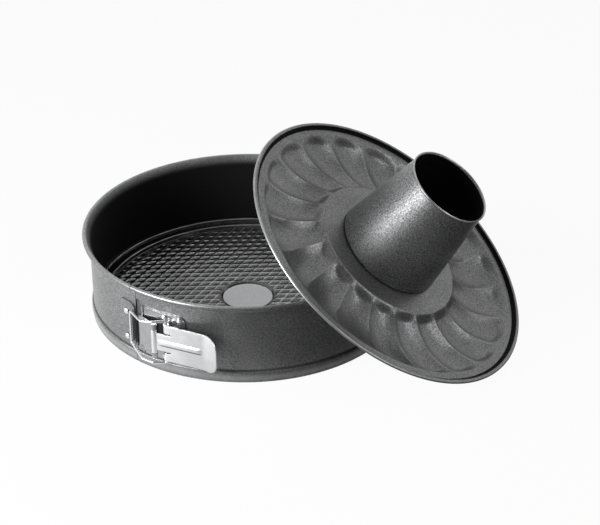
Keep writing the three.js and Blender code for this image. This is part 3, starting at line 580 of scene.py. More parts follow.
@dataclass(frozen=True)
class Steel:
    """Bright bare steel with a drawn or rolled grain.

    Attributes:
        name: The material's name.
        colour: Linear grey of the metal.
        roughness: Mean roughness.
        stretch: Grain lines per metre along X, Y and Z.
        bump: Depth of the grain, in millimetres.
        shade_grey: Linear grey of the painted shade on the faces that are marked for it.
    """

    name: str
    colour: float
    roughness: float
    stretch: Place = (180.0, 180.0, 2600.0)
    bump: float = 0.006
    shade_grey: float = 0.12

    def material(self) -> bpy.types.Material:
        """Returns the steel's material, built the first time it is asked for.

        Returns:
            The material.
        """
        known = bpy.data.materials.get(self.name)
        if known:
            return known
        made = bpy.data.materials.new(self.name)
        made.use_nodes = True
        tree, link = made.node_tree, made.node_tree.links.new
        shader = tree.nodes["Principled BSDF"]
        shader.inputs["Metallic"].default_value = 1.0
        grain = add_node(tree, "ShaderNodeGroup", {"Stretch": self.stretch}, node_tree=Effect.GRAIN.tree())
        tones = {"A": grey(self.colour * 0.82), "B": grey(min(self.colour * 1.12, 0.97))}
        tint = add_node(tree, "ShaderNodeMix", tones, data_type="RGBA")
        link(grain.outputs["Smudge"], tint.inputs["Factor"])
        marks = add_node(tree, "ShaderNodeGroup", node_tree=Effect.PAINTED_LIGHT.tree())
        # Painted shade: faces marked for it turn dark.
        shaded_tint = add_node(tree, "ShaderNodeMix", {"B": grey(self.shade_grey)}, data_type="RGBA")
        link(marks.outputs["PaintedShade"], shaded_tint.inputs["Factor"])
        link(tint.outputs["Result"], shaded_tint.inputs["A"])
        link(shaded_tint.outputs["Result"], shader.inputs["Base Color"])
        limits = {"From Min": 0.3, "From Max": 0.7}
        limits |= {"To Min": self.roughness - 0.07, "To Max": self.roughness + 0.09}
        rough = add_node(tree, "ShaderNodeMapRange", limits)
        link(grain.outputs["Lines"], rough.inputs["Value"])
        link(rough.outputs["Result"], shader.inputs["Roughness"])
        bump = add_node(tree, "ShaderNodeBump", {"Strength": 0.5, "Distance": self.bump * MM})
        link(grain.outputs["Lines"], bump.inputs["Height"])
        link(bump.outputs["Normal"], shader.inputs["Normal"])
        return made


# Each coating paints shade in near black and highlights in light grey on its marked faces.
RING_COATING = Coating("speckled_ring", dark=0.17, light=0.4, roughness=0.37, metallic=0.9, painted_shade=0.02)
BASE_COATING = Coating("speckled_base", dark=0.05, light=0.18, roughness=0.17, metallic=0.7, highlight_grey=0.85)
DISC_COATING = Coating("speckled_disc", dark=0.5, light=0.64, roughness=0.36, metallic=0.85, bump=0.02)
PLATE_COATING = Coating("speckled_plate", dark=0.1, light=0.25, roughness=0.38, metallic=0.75)
TUBE_COATING = Coating("speckled_tube", dark=0.08, light=0.36, roughness=0.42, metallic=0.9, bump=0.1)
BRIGHT_STEEL = Steel("lever_steel", colour=0.88, roughness=0.32, bump=0.002)
BRACKET_STEEL = Steel("bracket_steel", colour=0.45, roughness=0.3)
WIRE_STEEL = Steel("drawn_wire_steel", colour=0.8, roughness=0.26, stretch=(400.0, 400.0, 400.0), bump=0.002)
RIVET_STEEL = Steel(
    "headed_rivet_steel", colour=0.8, roughness=0.28, stretch=(500.0, 500.0, 500.0), bump=0.002
)

Finish = Coating | Steel


def dress(piece: bpy.types.Object, finish: Finish, body: Body, slot: Slot, *nodes: str) -> bpy.types.Object:
    """Gives a piece its finish, its body and the nodes that it stands for.

    Args:
        piece: The object.
        finish: Its coating or steel.
        body: The body that it rides on.
        slot: The record's slot for the piece; not used.
        nodes: Names of the nodes that it stands for.

    Returns:
        The same object.
    """
    piece.data.materials.clear()
    piece.data.materials.append(finish.material())
    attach(piece, body.value)
    if nodes:
        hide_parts(*nodes)
    LOG.info("%s: %d faces on %s", piece.name, len(piece.data.polygons), body.value)
    return piece


# The tin


@dataclass
class RingSizes:
    """The split ring and the places along it, with arcs measured on its outside from the seam."""

    inner_radius: float = 129.2
    height: float = 70.7
    sheet: float = 0.8
    curl_radius: float = 1.9
    curl_reach: float = 4.9
    curl_end: float = -110.0
    flare_lean: float = 30.0
    flare_bend: float = 9.0
    channel_height: float = 8.2
    channel_bulge: float = 0.5
    channel_foot: float = 0.8
    shoulder: float = 1.4
    edge_overlap: float = 0.5
    edge_clearance: float = 0.5
    seam_azimuth: float = -132.5
    seam_gap: float = 0.5

    @property
    def outer_radius(self) -> float:
        """Outside radius of the wall."""
        return self.inner_radius + self.sheet

    @property
    def edge_radius(self) -> float:
        """Radius of the edge of either base."""
        return self.inner_radius + self.edge_overlap

    @property
    def channel_radius(self) -> float:
        """Inside radius of the channel at the foot."""
        return self.edge_radius + self.edge_clearance

    @property
    def curl_centre(self) -> float:
        """Radius of the middle of the rolled edge."""
        return self.inner_radius + self.curl_reach

    def flare(self) -> tuple[Vector, Vector]:
        """Where the flare would meet the wall, and where the roll starts, as radius and height.

        Returns:
            The two points as radius and height.
        """
        lean = math.radians(self.flare_lean)
        reach = Vector((-math.cos(lean), math.sin(lean))) * self.curl_radius
        end = Vector((self.curl_centre, self.height - self.curl_radius)) + reach
        corner = Vector((self.inner_radius, end.y - (end.x - self.inner_radius) / math.tan(lean)))
        return corner, end

    def azimuth(self, along: float) -> float:
        """Azimuth in radians of a place that lies an arc along the outside from the seam."""
        return math.radians(self.seam_azimuth) + along / self.outer_radius

    def place(self, along: float, radius: float) -> Vector:
        """Flat place at an arc from the seam and a distance from the axis."""
        a = self.azimuth(along)
        return Vector((radius * math.cos(a), radius * math.sin(a)))


@dataclass
class SideBand:
    """The coated strip: rolled edge, wall, shoulder and channel, with a set end lapped behind the other."""

    ring: RingSizes = field(default_factory=RingSizes)
    steps: int = 420
    lap_set: float = 1.1
    lap_run: float = 9.0
    lap_length: float = 5.0
    lap_low: float = 15.0
    lap_high: float = 55.0

    def section(self) -> list[Vector]:
        """Section of the strip as radius and height.

        Returns:
            The closed section.
        """
        r = self.ring
        rise = r.channel_height - r.channel_foot
        bulge = []
        for t in np.linspace(0.0, 1.0, 9):
            out = r.channel_radius + r.channel_bulge * math.sin(math.pi * t)
            bulge.append((out, r.channel_foot + t * rise))
        path = [Vector((r.channel_radius, 0.0)), *(Vector(p) for p in bulge[:-1])]
        wall_foot = r.channel_height + r.shoulder
        corner, roll = r.flare()
        levels = [(r.inner_radius, z, 0.0) for z in (self.lap_low - 3, *self.lap_levels(), self.lap_high + 3)]
        wall = rounded(
            [
                (*bulge[-2], 0.0),
                (*bulge[-1], 0.5),
                (r.inner_radius, wall_foot, 1.0),
                *levels,
                (*corner, r.flare_bend),
                (*roll, 0.0),
            ]
        )
        path += wall[1:-1]
        curl = (r.curl_centre, r.height - r.curl_radius)
        path += arc(curl, r.curl_radius, 180.0 - r.flare_lean, r.curl_end, 20)
        return sheet_loop(path, r.sheet)

    def lap_levels(self) -> list[float]:
        """Heights of the mesh rows where the set end eases in and out.

        Returns:
            The heights, from the lowest up.
        """
        low = [self.lap_low - 3 + 0.75 * i for i in range(1, 5)]
        high = [self.lap_high + 0.75 * i for i in range(4)]
        return [*low, 30.0, 45.0, *high]

    def strip(self) -> Part:
        """The strip from the seam all the way round to the seam.

        Returns:
            The vertices and the faces.
        """
        r = self.ring
        loop = np.array([[p.x, p.y] for p in self.section()])
        gap = r.seam_gap / r.outer_radius
        turns = np.linspace(0.0, 2 * math.pi - gap, self.steps + 1)
        close = np.concatenate([np.linspace(0.0, turns[3], 13)[1:-1], turns])
        turns = np.unique(close)
        level = smoothstep(loop[:, 1], self.lap_low - 3, self.lap_low) * (
            1 - smoothstep(loop[:, 1], self.lap_high, self.lap_high + 3)
        )
        verts = np.empty((len(turns), len(loop), 3))
        for i, turn in enumerate(turns):
            set_in = self.lap_set * (1 - smoothstep(turn * r.outer_radius, 1.0, self.lap_run))
            radii = loop[:, 0] - set_in * level
            a = math.radians(r.seam_azimuth) + gap / 2 + turn
            verts[i, :, 0] = radii * math.cos(a)
            verts[i, :, 1] = radii * math.sin(a)
            verts[i, :, 2] = loop[:, 1]
        count = len(loop)
        faces: Faces = []
        for i in range(len(turns) - 1):
            for j in range(count):
                k = (j + 1) % count
                faces.append((i * count + j, (i + 1) * count + j, (i + 1) * count + k, i * count + k))
        half = count // 2
        last = (len(turns) - 1) * count
        for j in range(half - 1):
            faces.append((j, j + 1, count - 2 - j, count - 1 - j))
            faces.append((last + j, last + count - 1 - j, last + count - 2 - j, last + j + 1))
        return verts.reshape(-1, 3), faces

    def tongue(self) -> Part:
        """The end of the strip that runs on behind the other end.

        Returns:
            The vertices and the faces.
        """
        r = self.ring
        inner = r.inner_radius - self.lap_set + 0.1
        path = [r.place(along, inner) for along in np.linspace(1.0, -self.lap_length, 7)]
        loop = sheet_loop(path, -(r.sheet - 0.2))
        low = [(p.x, p.y, self.lap_low + 0.6) for p in loop]
        high = [(p.x, p.y, self.lap_high - 0.6) for p in loop]
        count = len(loop)
        half = count // 2
        faces: Faces = [(j, (j + 1) % count, count + (j + 1) % count, count + j) for j in range(count)]
        for j in range(half - 1):
            faces.append((j, count - 1 - j, count - 2 - j, j + 1))
            faces.append((count + j, count + j + 1, 2 * count - 2 - j, 2 * count - 1 - j))
        return np.array(low + high), faces

    def painted_shade(self, places: np.ndarray, normals: np.ndarray) -> np.ndarray:
        """Painted shade: the wall is black inside, fading over the flare, and the shoulder's corner is dark.

        Args:
            places: The vertices' places, in millimetres.
            normals: Their normals.

        Returns:
            The value of each vertex, from 0 to 1.
        """
        r = self.ring
        radius = np.hypot(places[:, 0], places[:, 1])
        outward = (places[:, 0] * normals[:, 0] + places[:, 1] * normals[:, 1]) / radius
        wall = 1 - 0.7 * smoothstep(places[:, 2], r.flare()[0].y - 2.0, r.height)
        corner = 1 - smoothstep(np.abs(places[:, 2] - r.channel_height - r.shoulder), 0.4, 1.2)
        inside, outside = smoothstep(-outward, 0.1, 0.5), smoothstep(outward, 0.1, 0.5)
        return np.maximum(inside * wall, 0.8 * outside * corner)

    def painted_highlight(self, places: np.ndarray, _normals: np.ndarray) -> np.ndarray:
        """Painted highlight: the rolled edge's crown and the channel's crown are brighter.

        Args:
            places: The vertices' places, in millimetres.
            _normals: Their normals, unused.

        Returns:
            The value of each vertex, from 0 to 1.
        """
        r = self.ring
        crown = smoothstep(places[:, 2], r.height - 1.4, r.height - 0.2)
        radius = np.hypot(places[:, 0], places[:, 1])
        face = r.channel_radius + r.sheet
        foot = smoothstep(radius, face + 0.1, face + r.channel_bulge)
        low = 1 - smoothstep(places[:, 2], 8.0, 9.0)
        return np.maximum(0.3 * crown, 0.9 * foot * low)

    def build(self) -> bpy.types.Object:
        """Builds and dresses the strip.

        Returns:
            The dressed object.
        """
        piece = make_piece("side_band_fine", merge(self.strip(), self.tongue()), sharp=45.0)
        # Painted highlight on the rolled edge's crown and the channel's crown.
        mark(piece.data, "painted_highlight", self.painted_highlight)
        # Painted shade: black inside the wall, fading near the rolled edge, and dark in the shoulder's
        # corner.
        mark(piece.data, "painted_shade", self.painted_shade)
        return dress(piece, RING_COATING, Body.RING, Slot.RING, "side_band")


@dataclass
class FlatBase:
    """The flat base: smooth centre disc, waffle floor, bead, gutter and raised edge."""

    ring: RingSizes = field(default_factory=RingSizes)
    sheet: float = 0.9
    rim_height: float = 8.5
    rim_crest: float = 1.8
    edge_drop: float = 1.1
    gutter_width: float = 2.2
    gutter_wall: float = 0.8
    bead_height: float = 5.2
    bead_crest: float = 1.8
    bead_slope: float = 1.2
    floor_height: float = 2.2
    floor_margin: float = 2.5
    disc_radius: float = 21.0
    disc_step: float = 1.5
    pitch: float = 8.5
    slant: float = 61.0
    ridge: float = 1.0
    root: float = 0.4
    cell_steps: int = 6
    steps: int = 288

    def bead_start(self) -> float:
        """Radius of the inside of the bead's crest."""
        crest = self.ring.edge_radius - self.edge_drop - self.rim_crest
        return crest - 2 * self.gutter_wall - self.gutter_width - self.bead_crest

    def dish(self) -> Part:
        """The pressed sheet without its waffle.

        Returns:
            The vertices and the faces.
        """
        crest_end = self.ring.edge_radius - self.edge_drop
        crest_start = crest_end - self.rim_crest
        gutter_end = crest_start - self.gutter_wall
        gutter_start = gutter_end - self.gutter_width
        bead_end = gutter_start - self.gutter_wall
        bead_start = bead_end - self.bead_crest
        top = rounded(
            [
                (0.0, self.sheet, 0.0),
                (self.disc_radius, self.sheet, 1.2),
                (self.disc_radius + self.disc_step, self.floor_height, 0.8),
                (bead_start - self.bead_slope, self.floor_height, 0.5),
                (bead_start, self.bead_height, 0.7),
                (bead_end, self.bead_height, 0.7),
                (gutter_start, self.sheet, 0.4),
                (gutter_end, self.sheet, 0.4),
                (crest_start, self.rim_height, 0.7),
                (crest_end, self.rim_height, 0.7),
                (self.ring.edge_radius, self.rim_height - self.edge_drop, 0.0),
            ],
            4,
        )
        return lathe(sheet_loop(top, self.sheet), self.steps)

    def waffle(self) -> bpy.types.Object:
        """The lattice of ridges with a dimple in each cell, as a closed slab rooted in the floor.

        Returns:
            The slab, which the base takes up.
        """
        inner = self.disc_radius + 2 * self.disc_step
        outer = self.bead_start() - self.bead_slope - self.floor_margin + 1.5
        along = np.array([self.pitch, 0.0])
        slant = math.radians(self.slant)
        across = self.pitch * np.array([math.cos(slant), math.sin(slant)])
        half = math.ceil((outer + 2) / across[1]) + 1
        count = 2 * half * self.cell_steps + 1
        share = np.linspace(-half, half, count)
        u, v = np.meshgrid(share, share, indexing="ij")
        x = u * along[0] + v * across[0]
        y = v * across[1]
        radius = np.hypot(x, y)
        bowl = np.abs(np.sin(np.pi * u) * np.sin(np.pi * v)) ** 0.75
        inside = smoothstep(radius, inner - 0.8, inner + 0.8)
        inside = inside * (1 - smoothstep(radius, outer - 0.8, outer + 0.8))
        rise = self.floor_height + 0.06 + self.ridge * (1 - bowl)
        z = rise * inside + (self.floor_height - self.root / 2) * (1 - inside)
        keep = (radius < outer + 2.0) & (radius > inner - 2.0)
        number = np.full(keep.shape, -1)
        cells = keep[:-1, :-1] & keep[1:, :-1] & keep[1:, 1:] & keep[:-1, 1:]
        used = np.zeros(keep.shape, bool)
        for i, j in ((0, 0), (1, 0), (1, 1), (0, 1)):
            used[i : count - 1 + i, j : count - 1 + j] |= cells
        number[used] = np.arange(used.sum())
        verts = np.stack([x[used], y[used], z[used]], -1)
        corners = np.argwhere(cells)
        faces = [
            (int(number[i, j]), int(number[i + 1, j]), int(number[i + 1, j + 1]), int(number[i, j + 1]))
            for i, j in corners
        ]
        slab = make_piece("waffle_slab", (verts, faces))
        work = bmesh.new()
        work.from_mesh(slab.data)
        grown = bmesh.ops.extrude_face_region(work, geom=work.faces[:], use_keep_orig=True)
        for part in grown["geom"]:
            if isinstance(part, bmesh.types.BMVert):
                part.co.z = (self.floor_height - self.root) * MM
        bmesh.ops.recalc_face_normals(work, faces=work.faces)
        work.to_mesh(slab.data)
        work.free()
        return slab

    def painted_highlight(self, places: np.ndarray, _normals: np.ndarray) -> np.ndarray:
        """Painted highlight: ridge tops, the bead and the raised edge are brighter.

        Args:
            places: The vertices' places, in millimetres.
            _normals: Their normals, unused.

        Returns:
            The value of each vertex, from 0 to 1.
        """
        radius = np.hypot(places[:, 0], places[:, 1])
        floor = radius < self.bead_start() - self.bead_slope
        shine = self.floor_height + 0.6 * self.ridge
        ridges = smoothstep(places[:, 2], shine, self.floor_height + self.ridge)
        gutter = self.bead_start() + self.bead_crest + self.gutter_wall
        bead = smoothstep(places[:, 2], self.bead_height - 0.5, self.bead_height - 0.05) * (radius < gutter)
        crest = smoothstep(places[:, 2], self.rim_height - 0.5, self.rim_height - 0.05)
        return np.where(floor, 0.7 * ridges, np.maximum(bead, crest))

    def build(self) -> bpy.types.Object:
        """Builds and dresses the base.

        Returns:
            The dressed object.
        """
        piece = make_piece("flat_base_fine", self.dish(), sharp=50.0)
        slab = self.waffle()
        union = piece.modifiers.new("waffle", "BOOLEAN")
        union.operation = "UNION"
        union.solver = "MANIFOLD"
        union.object = slab
        settle(piece)
        bpy.data.objects.remove(slab)
        smooth(piece.data, 38.0)
        # Painted highlight on ridge tops, the bead and the raised edge.
        mark(piece.data, "painted_highlight", self.painted_highlight)
        dress(piece, BASE_COATING, Body.BASE, Slot.BASE, "flat_base")
        piece.data.materials.append(DISC_COATING.material())
        for face in piece.data.polygons:
            middle = face.center
            if math.hypot(middle.x, middle.y) < self.disc_radius * MM and face.normal.z > 0.5:
                face.material_index = 1
        return piece


@dataclass
class TubeBase:
    """The second base: a plate with a ring of swirled scoops and a tapered tube, leaning on the ring."""

    ring: RingSizes = field(default_factory=RingSizes)
    sheet: float = 0.8
    drop: float = 2.1
    rim_crest: float = 2.2
    rim_rise: float = 0.8
    rim_wall: float = 0.7
    groove_width: float = 2.0
    groove_depth: float = 1.2
    flutes: int = 20
    flute_inner: float = 63.0
    flute_outer: float = 119.0
    trough: float = 8.3
    flute_depth: float = 4.0
    flute_start: float = 2.0
    swirl: float = 8.6
    scallop: float = 4.0
    inner_ramp: float = 6.0
    outer_ramp: float = 6.0
    flute_steps: int = 18
    seat_gap: float = 0.3
    tube_top: float = 34.2
    tube_foot: float = 44.4
    tube_height: float = 81.5
    tube_round: float = 2.0
    tube_flare: float = 4.0
    tube_lip: float = 0.7
    tilt: float = 36.2
    heading: float = -24.0
    bearing: float = -26.2
    lean_gap: float = 0.4
    table_gap: float = 0.1

    @property
    def hole(self) -> float:
        """Radius of the plate's hole."""
        return self.tube_foot - self.tube_round

    def rim(self) -> list[Place]:
        """Corners of the plate's rim as radius, height and corner radius.

        Returns:
            The corners, from the groove outward.
        """
        crest_end = self.ring.edge_radius - self.rim_rise
        crest_start = crest_end - self.rim_crest
        foot = crest_start - self.rim_wall
        return [
            (foot - self.groove_width, -self.drop, 0.6),
            (foot - self.groove_width / 2, -self.drop - self.groove_depth, 0.6),
            (foot, -self.drop, 0.4),
            (crest_start, self.rim_rise, 0.9),
            (crest_end, self.rim_rise, 0.9),
            (self.ring.edge_radius, 0.0, 0.0),
        ]

    def pose(self) -> Matrix:
        """Where the plate's edge plane stands: its edge on the table and its underside on the rolled edge.

        Returns:
            The placement, in millimetres.
        """
        r = self.ring
        tilt, skew = math.radians(self.tilt), math.radians(self.bearing - self.heading)
        bore = self.hole - self.seat_gap - self.sheet
        aside = bore - r.curl_centre * abs(math.sin(skew))
        underside = self.drop + 2 * self.sheet + self.seat_gap
        depth = max(p[0] * math.sin(tilt) + (self.sheet - p[1]) * math.cos(tilt) for p in self.rim())
        height = depth + self.table_gap
        fall = (r.height - r.curl_radius - height) * math.cos(tilt)
        rise = (fall + r.curl_radius + underside + self.lean_gap) / math.sin(tilt)
        reach = (math.sqrt(r.curl_centre**2 - aside**2) + rise) / math.cos(skew)
        bearing = math.radians(self.bearing)
        place = Matrix.Translation((reach * math.cos(bearing), reach * math.sin(bearing), height))
        return place @ Matrix.Rotation(math.radians(self.heading), 4, "Z") @ Matrix.Rotation(tilt, 4, "Y")

    def run(self, radius: np.ndarray | float) -> np.ndarray | float:
        """Share of the way from the flutes' outer ends to their inner ends."""
        return np.clip((self.flute_outer - radius) / (self.flute_outer - self.flute_inner), 0.0, 1.0)

    def turn(self, radius: np.ndarray | float) -> np.ndarray | float:
        """Angle in radians that the ridges have turned to at a radius."""
        return np.radians(self.flute_start - self.swirl * self.run(radius))

    def depth(self, radius: float, share: np.ndarray) -> np.ndarray:
        """Depth of the trough and its scoops at a radius, for shares of the way across a flute.

        Args:
            radius: Distance from the plate's axis.
            share: Shares of the way across a flute.

        Returns:
            The depth at each share.
        """
        across = 4 * share * (1 - share)
        outer_end = self.flute_outer - self.scallop * (1 - across)
        inward = smoothstep(radius, self.flute_inner, self.flute_inner + self.inner_ramp)
        outward = smoothstep(outer_end - radius, 0.0, self.outer_ramp)
        run = self.run(radius)
        return 4 * run * (1 - run) * self.trough + across * inward * outward * self.flute_depth

    def rings(self) -> list[Vector]:
        """Radii of the plate's mesh rings with the height of the flat sheet there.

        Returns:
            The radii and heights, from the hole outward.
        """
        flat = [self.hole, *np.linspace(self.hole + 4, self.flute_inner - 1, 6)]
        fluted = [*np.linspace(self.flute_inner, self.flute_outer, 57)]
        rim = rounded([(self.flute_outer + 0.8, -self.drop, 0.0), *self.rim()], 4)
        return [*(Vector((r, -self.drop)) for r in [*flat, *fluted]), *rim]

    def plate(self) -> Part:
        """The plate as one closed sheet.

        Returns:
            The vertices and the faces.
        """
        rings = self.rings()
        turns = self.flutes * self.flute_steps
        angles = np.linspace(0.0, 2 * math.pi, turns, endpoint=False)
        share = (np.arange(turns) % self.flute_steps) / self.flute_steps
        top = np.empty((len(rings), turns, 3))
        for i, ring in enumerate(rings):
            a = angles + self.turn(ring.x)
            scoop = self.depth(ring.x, share) if self.flute_inner <= ring.x <= self.flute_outer else 0.0
            top[i, :, 0] = ring.x * np.cos(a)
            top[i, :, 1] = ring.x * np.sin(a)
            top[i, :, 2] = ring.y - scoop
        under = top.copy()
        under[:, :, 2] -= self.sheet
        size = len(rings) * turns
        faces: Faces = []
        last = len(rings) - 1
        for k in range(turns):
            m = (k + 1) % turns
            for i in range(last):
                a, b = i * turns, (i + 1) * turns
                faces.append((a + k, b + k, b + m, a + m))
                faces.append((size + a + k, size + a + m, size + b + m, size + b + k))
            faces.append((k, m, size + m, size + k))
            end = last * turns
            faces.append((end + k, size + end + k, size + end + m, end + m))
        return np.vstack([top.reshape(-1, 3), under.reshape(-1, 3)]), faces

    def tube(self) -> Part:
        """The tube from its flare under the plate to its rolled lip.

        Returns:
            The vertices and the faces.
        """
        under = -self.drop - self.sheet - self.seat_gap
        seat = -self.drop + self.seat_gap
        neck = self.hole - self.seat_gap
        lip = self.tube_height - self.drop
        path = [Vector((self.hole + self.tube_flare, under)), Vector((neck, under)), Vector((neck, seat))]
        path += arc((self.hole, seat + self.tube_round), self.tube_round, -90.0, -4.0, 14)
        shank = rounded(
            [
                (path[-1].x, path[-1].y, 0.0),
                (self.tube_top, lip - 3 * self.tube_lip, 0.6),
                (self.tube_top + self.tube_lip, lip - 2 * self.tube_lip, 0.6),
                (self.tube_top + self.tube_lip, lip - self.tube_lip, 0.6),
                (self.tube_top, lip, 0.0),
            ]
        )
        path += shank[1:]
        return lathe(sheet_loop(path, -self.sheet), 160)

    def plate_painted_highlight(self, places: np.ndarray, _normals: np.ndarray) -> np.ndarray:
        """Painted highlight: ridges between the scoops and the raised edge are brighter.

        Args:
            places: The vertices' places, in millimetres.
            _normals: Their normals, unused.

        Returns:
            The value of each vertex, from 0 to 1.
        """
        local = self.local(places)
        radius = np.hypot(local[:, 0], local[:, 1])
        angle = np.arctan2(local[:, 1], local[:, 0]) - self.turn(radius)
        share = (angle / (2 * math.pi) * self.flutes) % 1.0
        near = np.minimum(share, 1 - share) * 2 * math.pi * radius / self.flutes
        zone = smoothstep(radius, self.flute_inner + 2, self.flute_inner + 8) * (
            1 - smoothstep(radius, self.flute_outer - 8, self.flute_outer - 3)
        )
        edge = smoothstep(radius, self.ring.edge_radius - 1.6, self.ring.edge_radius - 0.2)
        return np.maximum(0.25 * (1 - smoothstep(near, 0.2, 1.6)) * zone, 0.9 * edge)

    def groove_painted_shade(self, places: np.ndarray, _normals: np.ndarray) -> np.ndarray:
        """Painted shade: the groove inside the raised edge is dark.

        Args:
            places: The vertices' places, in millimetres.
            _normals: Their normals, unused.

        Returns:
            The value of each vertex, from 0 to 1.
        """
        local = self.local(places)
        radius = np.hypot(local[:, 0], local[:, 1])
        rim = self.rim()
        start, end = rim[0][0], rim[3][0]
        return smoothstep(radius, start + 0.1, start + 0.7) * (1 - smoothstep(radius, end - 0.1, end + 0.3))

    def tube_painted_highlight(self, places: np.ndarray, _normals: np.ndarray) -> np.ndarray:
        """Painted highlight: the lip of the tube is bright."""
        top = self.tube_height - self.drop
        return 0.9 * smoothstep(self.local(places)[:, 2], top - 2.2, top - 0.6)

    def bore_painted_shade(self, places: np.ndarray, normals: np.ndarray) -> np.ndarray:
        """Painted shade: the bore of the tube is black, up to its lip.

        Args:
            places: The vertices' places, in millimetres.
            normals: Their normals.

        Returns:
            The value of each vertex, from 0 to 1.
        """
        local = self.local(places)
        turned = normals @ np.array(self.pose().to_3x3())
        radius = np.hypot(local[:, 0], local[:, 1])
        inward = -(local[:, 0] * turned[:, 0] + local[:, 1] * turned[:, 1]) / radius
        top = self.tube_height - self.drop
        return smoothstep(inward, 0.1, 0.5) * (1 - smoothstep(local[:, 2], top - 2.5, top - 0.8))

    def local(self, places: np.ndarray) -> np.ndarray:
        """Places in the plate's own frame."""
        back = self.pose().inverted()
        return places @ np.array(back.to_3x3()).T + np.array(back.to_translation())

    def build(self) -> list[bpy.types.Object]:
        """Builds and dresses the plate and the tube.

        Returns:
            The two dressed objects.
        """
        pose = self.pose()
        plate = make_piece("fluted_plate_fine", moved(self.plate(), pose), sharp=55.0)
        # Painted highlight on the ridges and the raised edge.
        mark(plate.data, "painted_highlight", self.plate_painted_highlight)
        # Painted shade in the groove inside the raised edge.
        mark(plate.data, "painted_shade", self.groove_painted_shade)
        tube = make_piece("centre_tube_fine", moved(self.tube(), pose), sharp=55.0)
        # Painted highlight on the tube's lip.
        mark(tube.data, "painted_highlight", self.tube_painted_highlight)
        # Painted shade inside the tube's bore.
        mark(tube.data, "painted_shade", self.bore_painted_shade)
        return [
            dress(plate, PLATE_COATING, Body.TUBE_BASE, Slot.PLATE, "fluted_plate"),
            dress(tube, TUBE_COATING, Body.TUBE_BASE, Slot.TUBE, "centre_tube"),
        ]


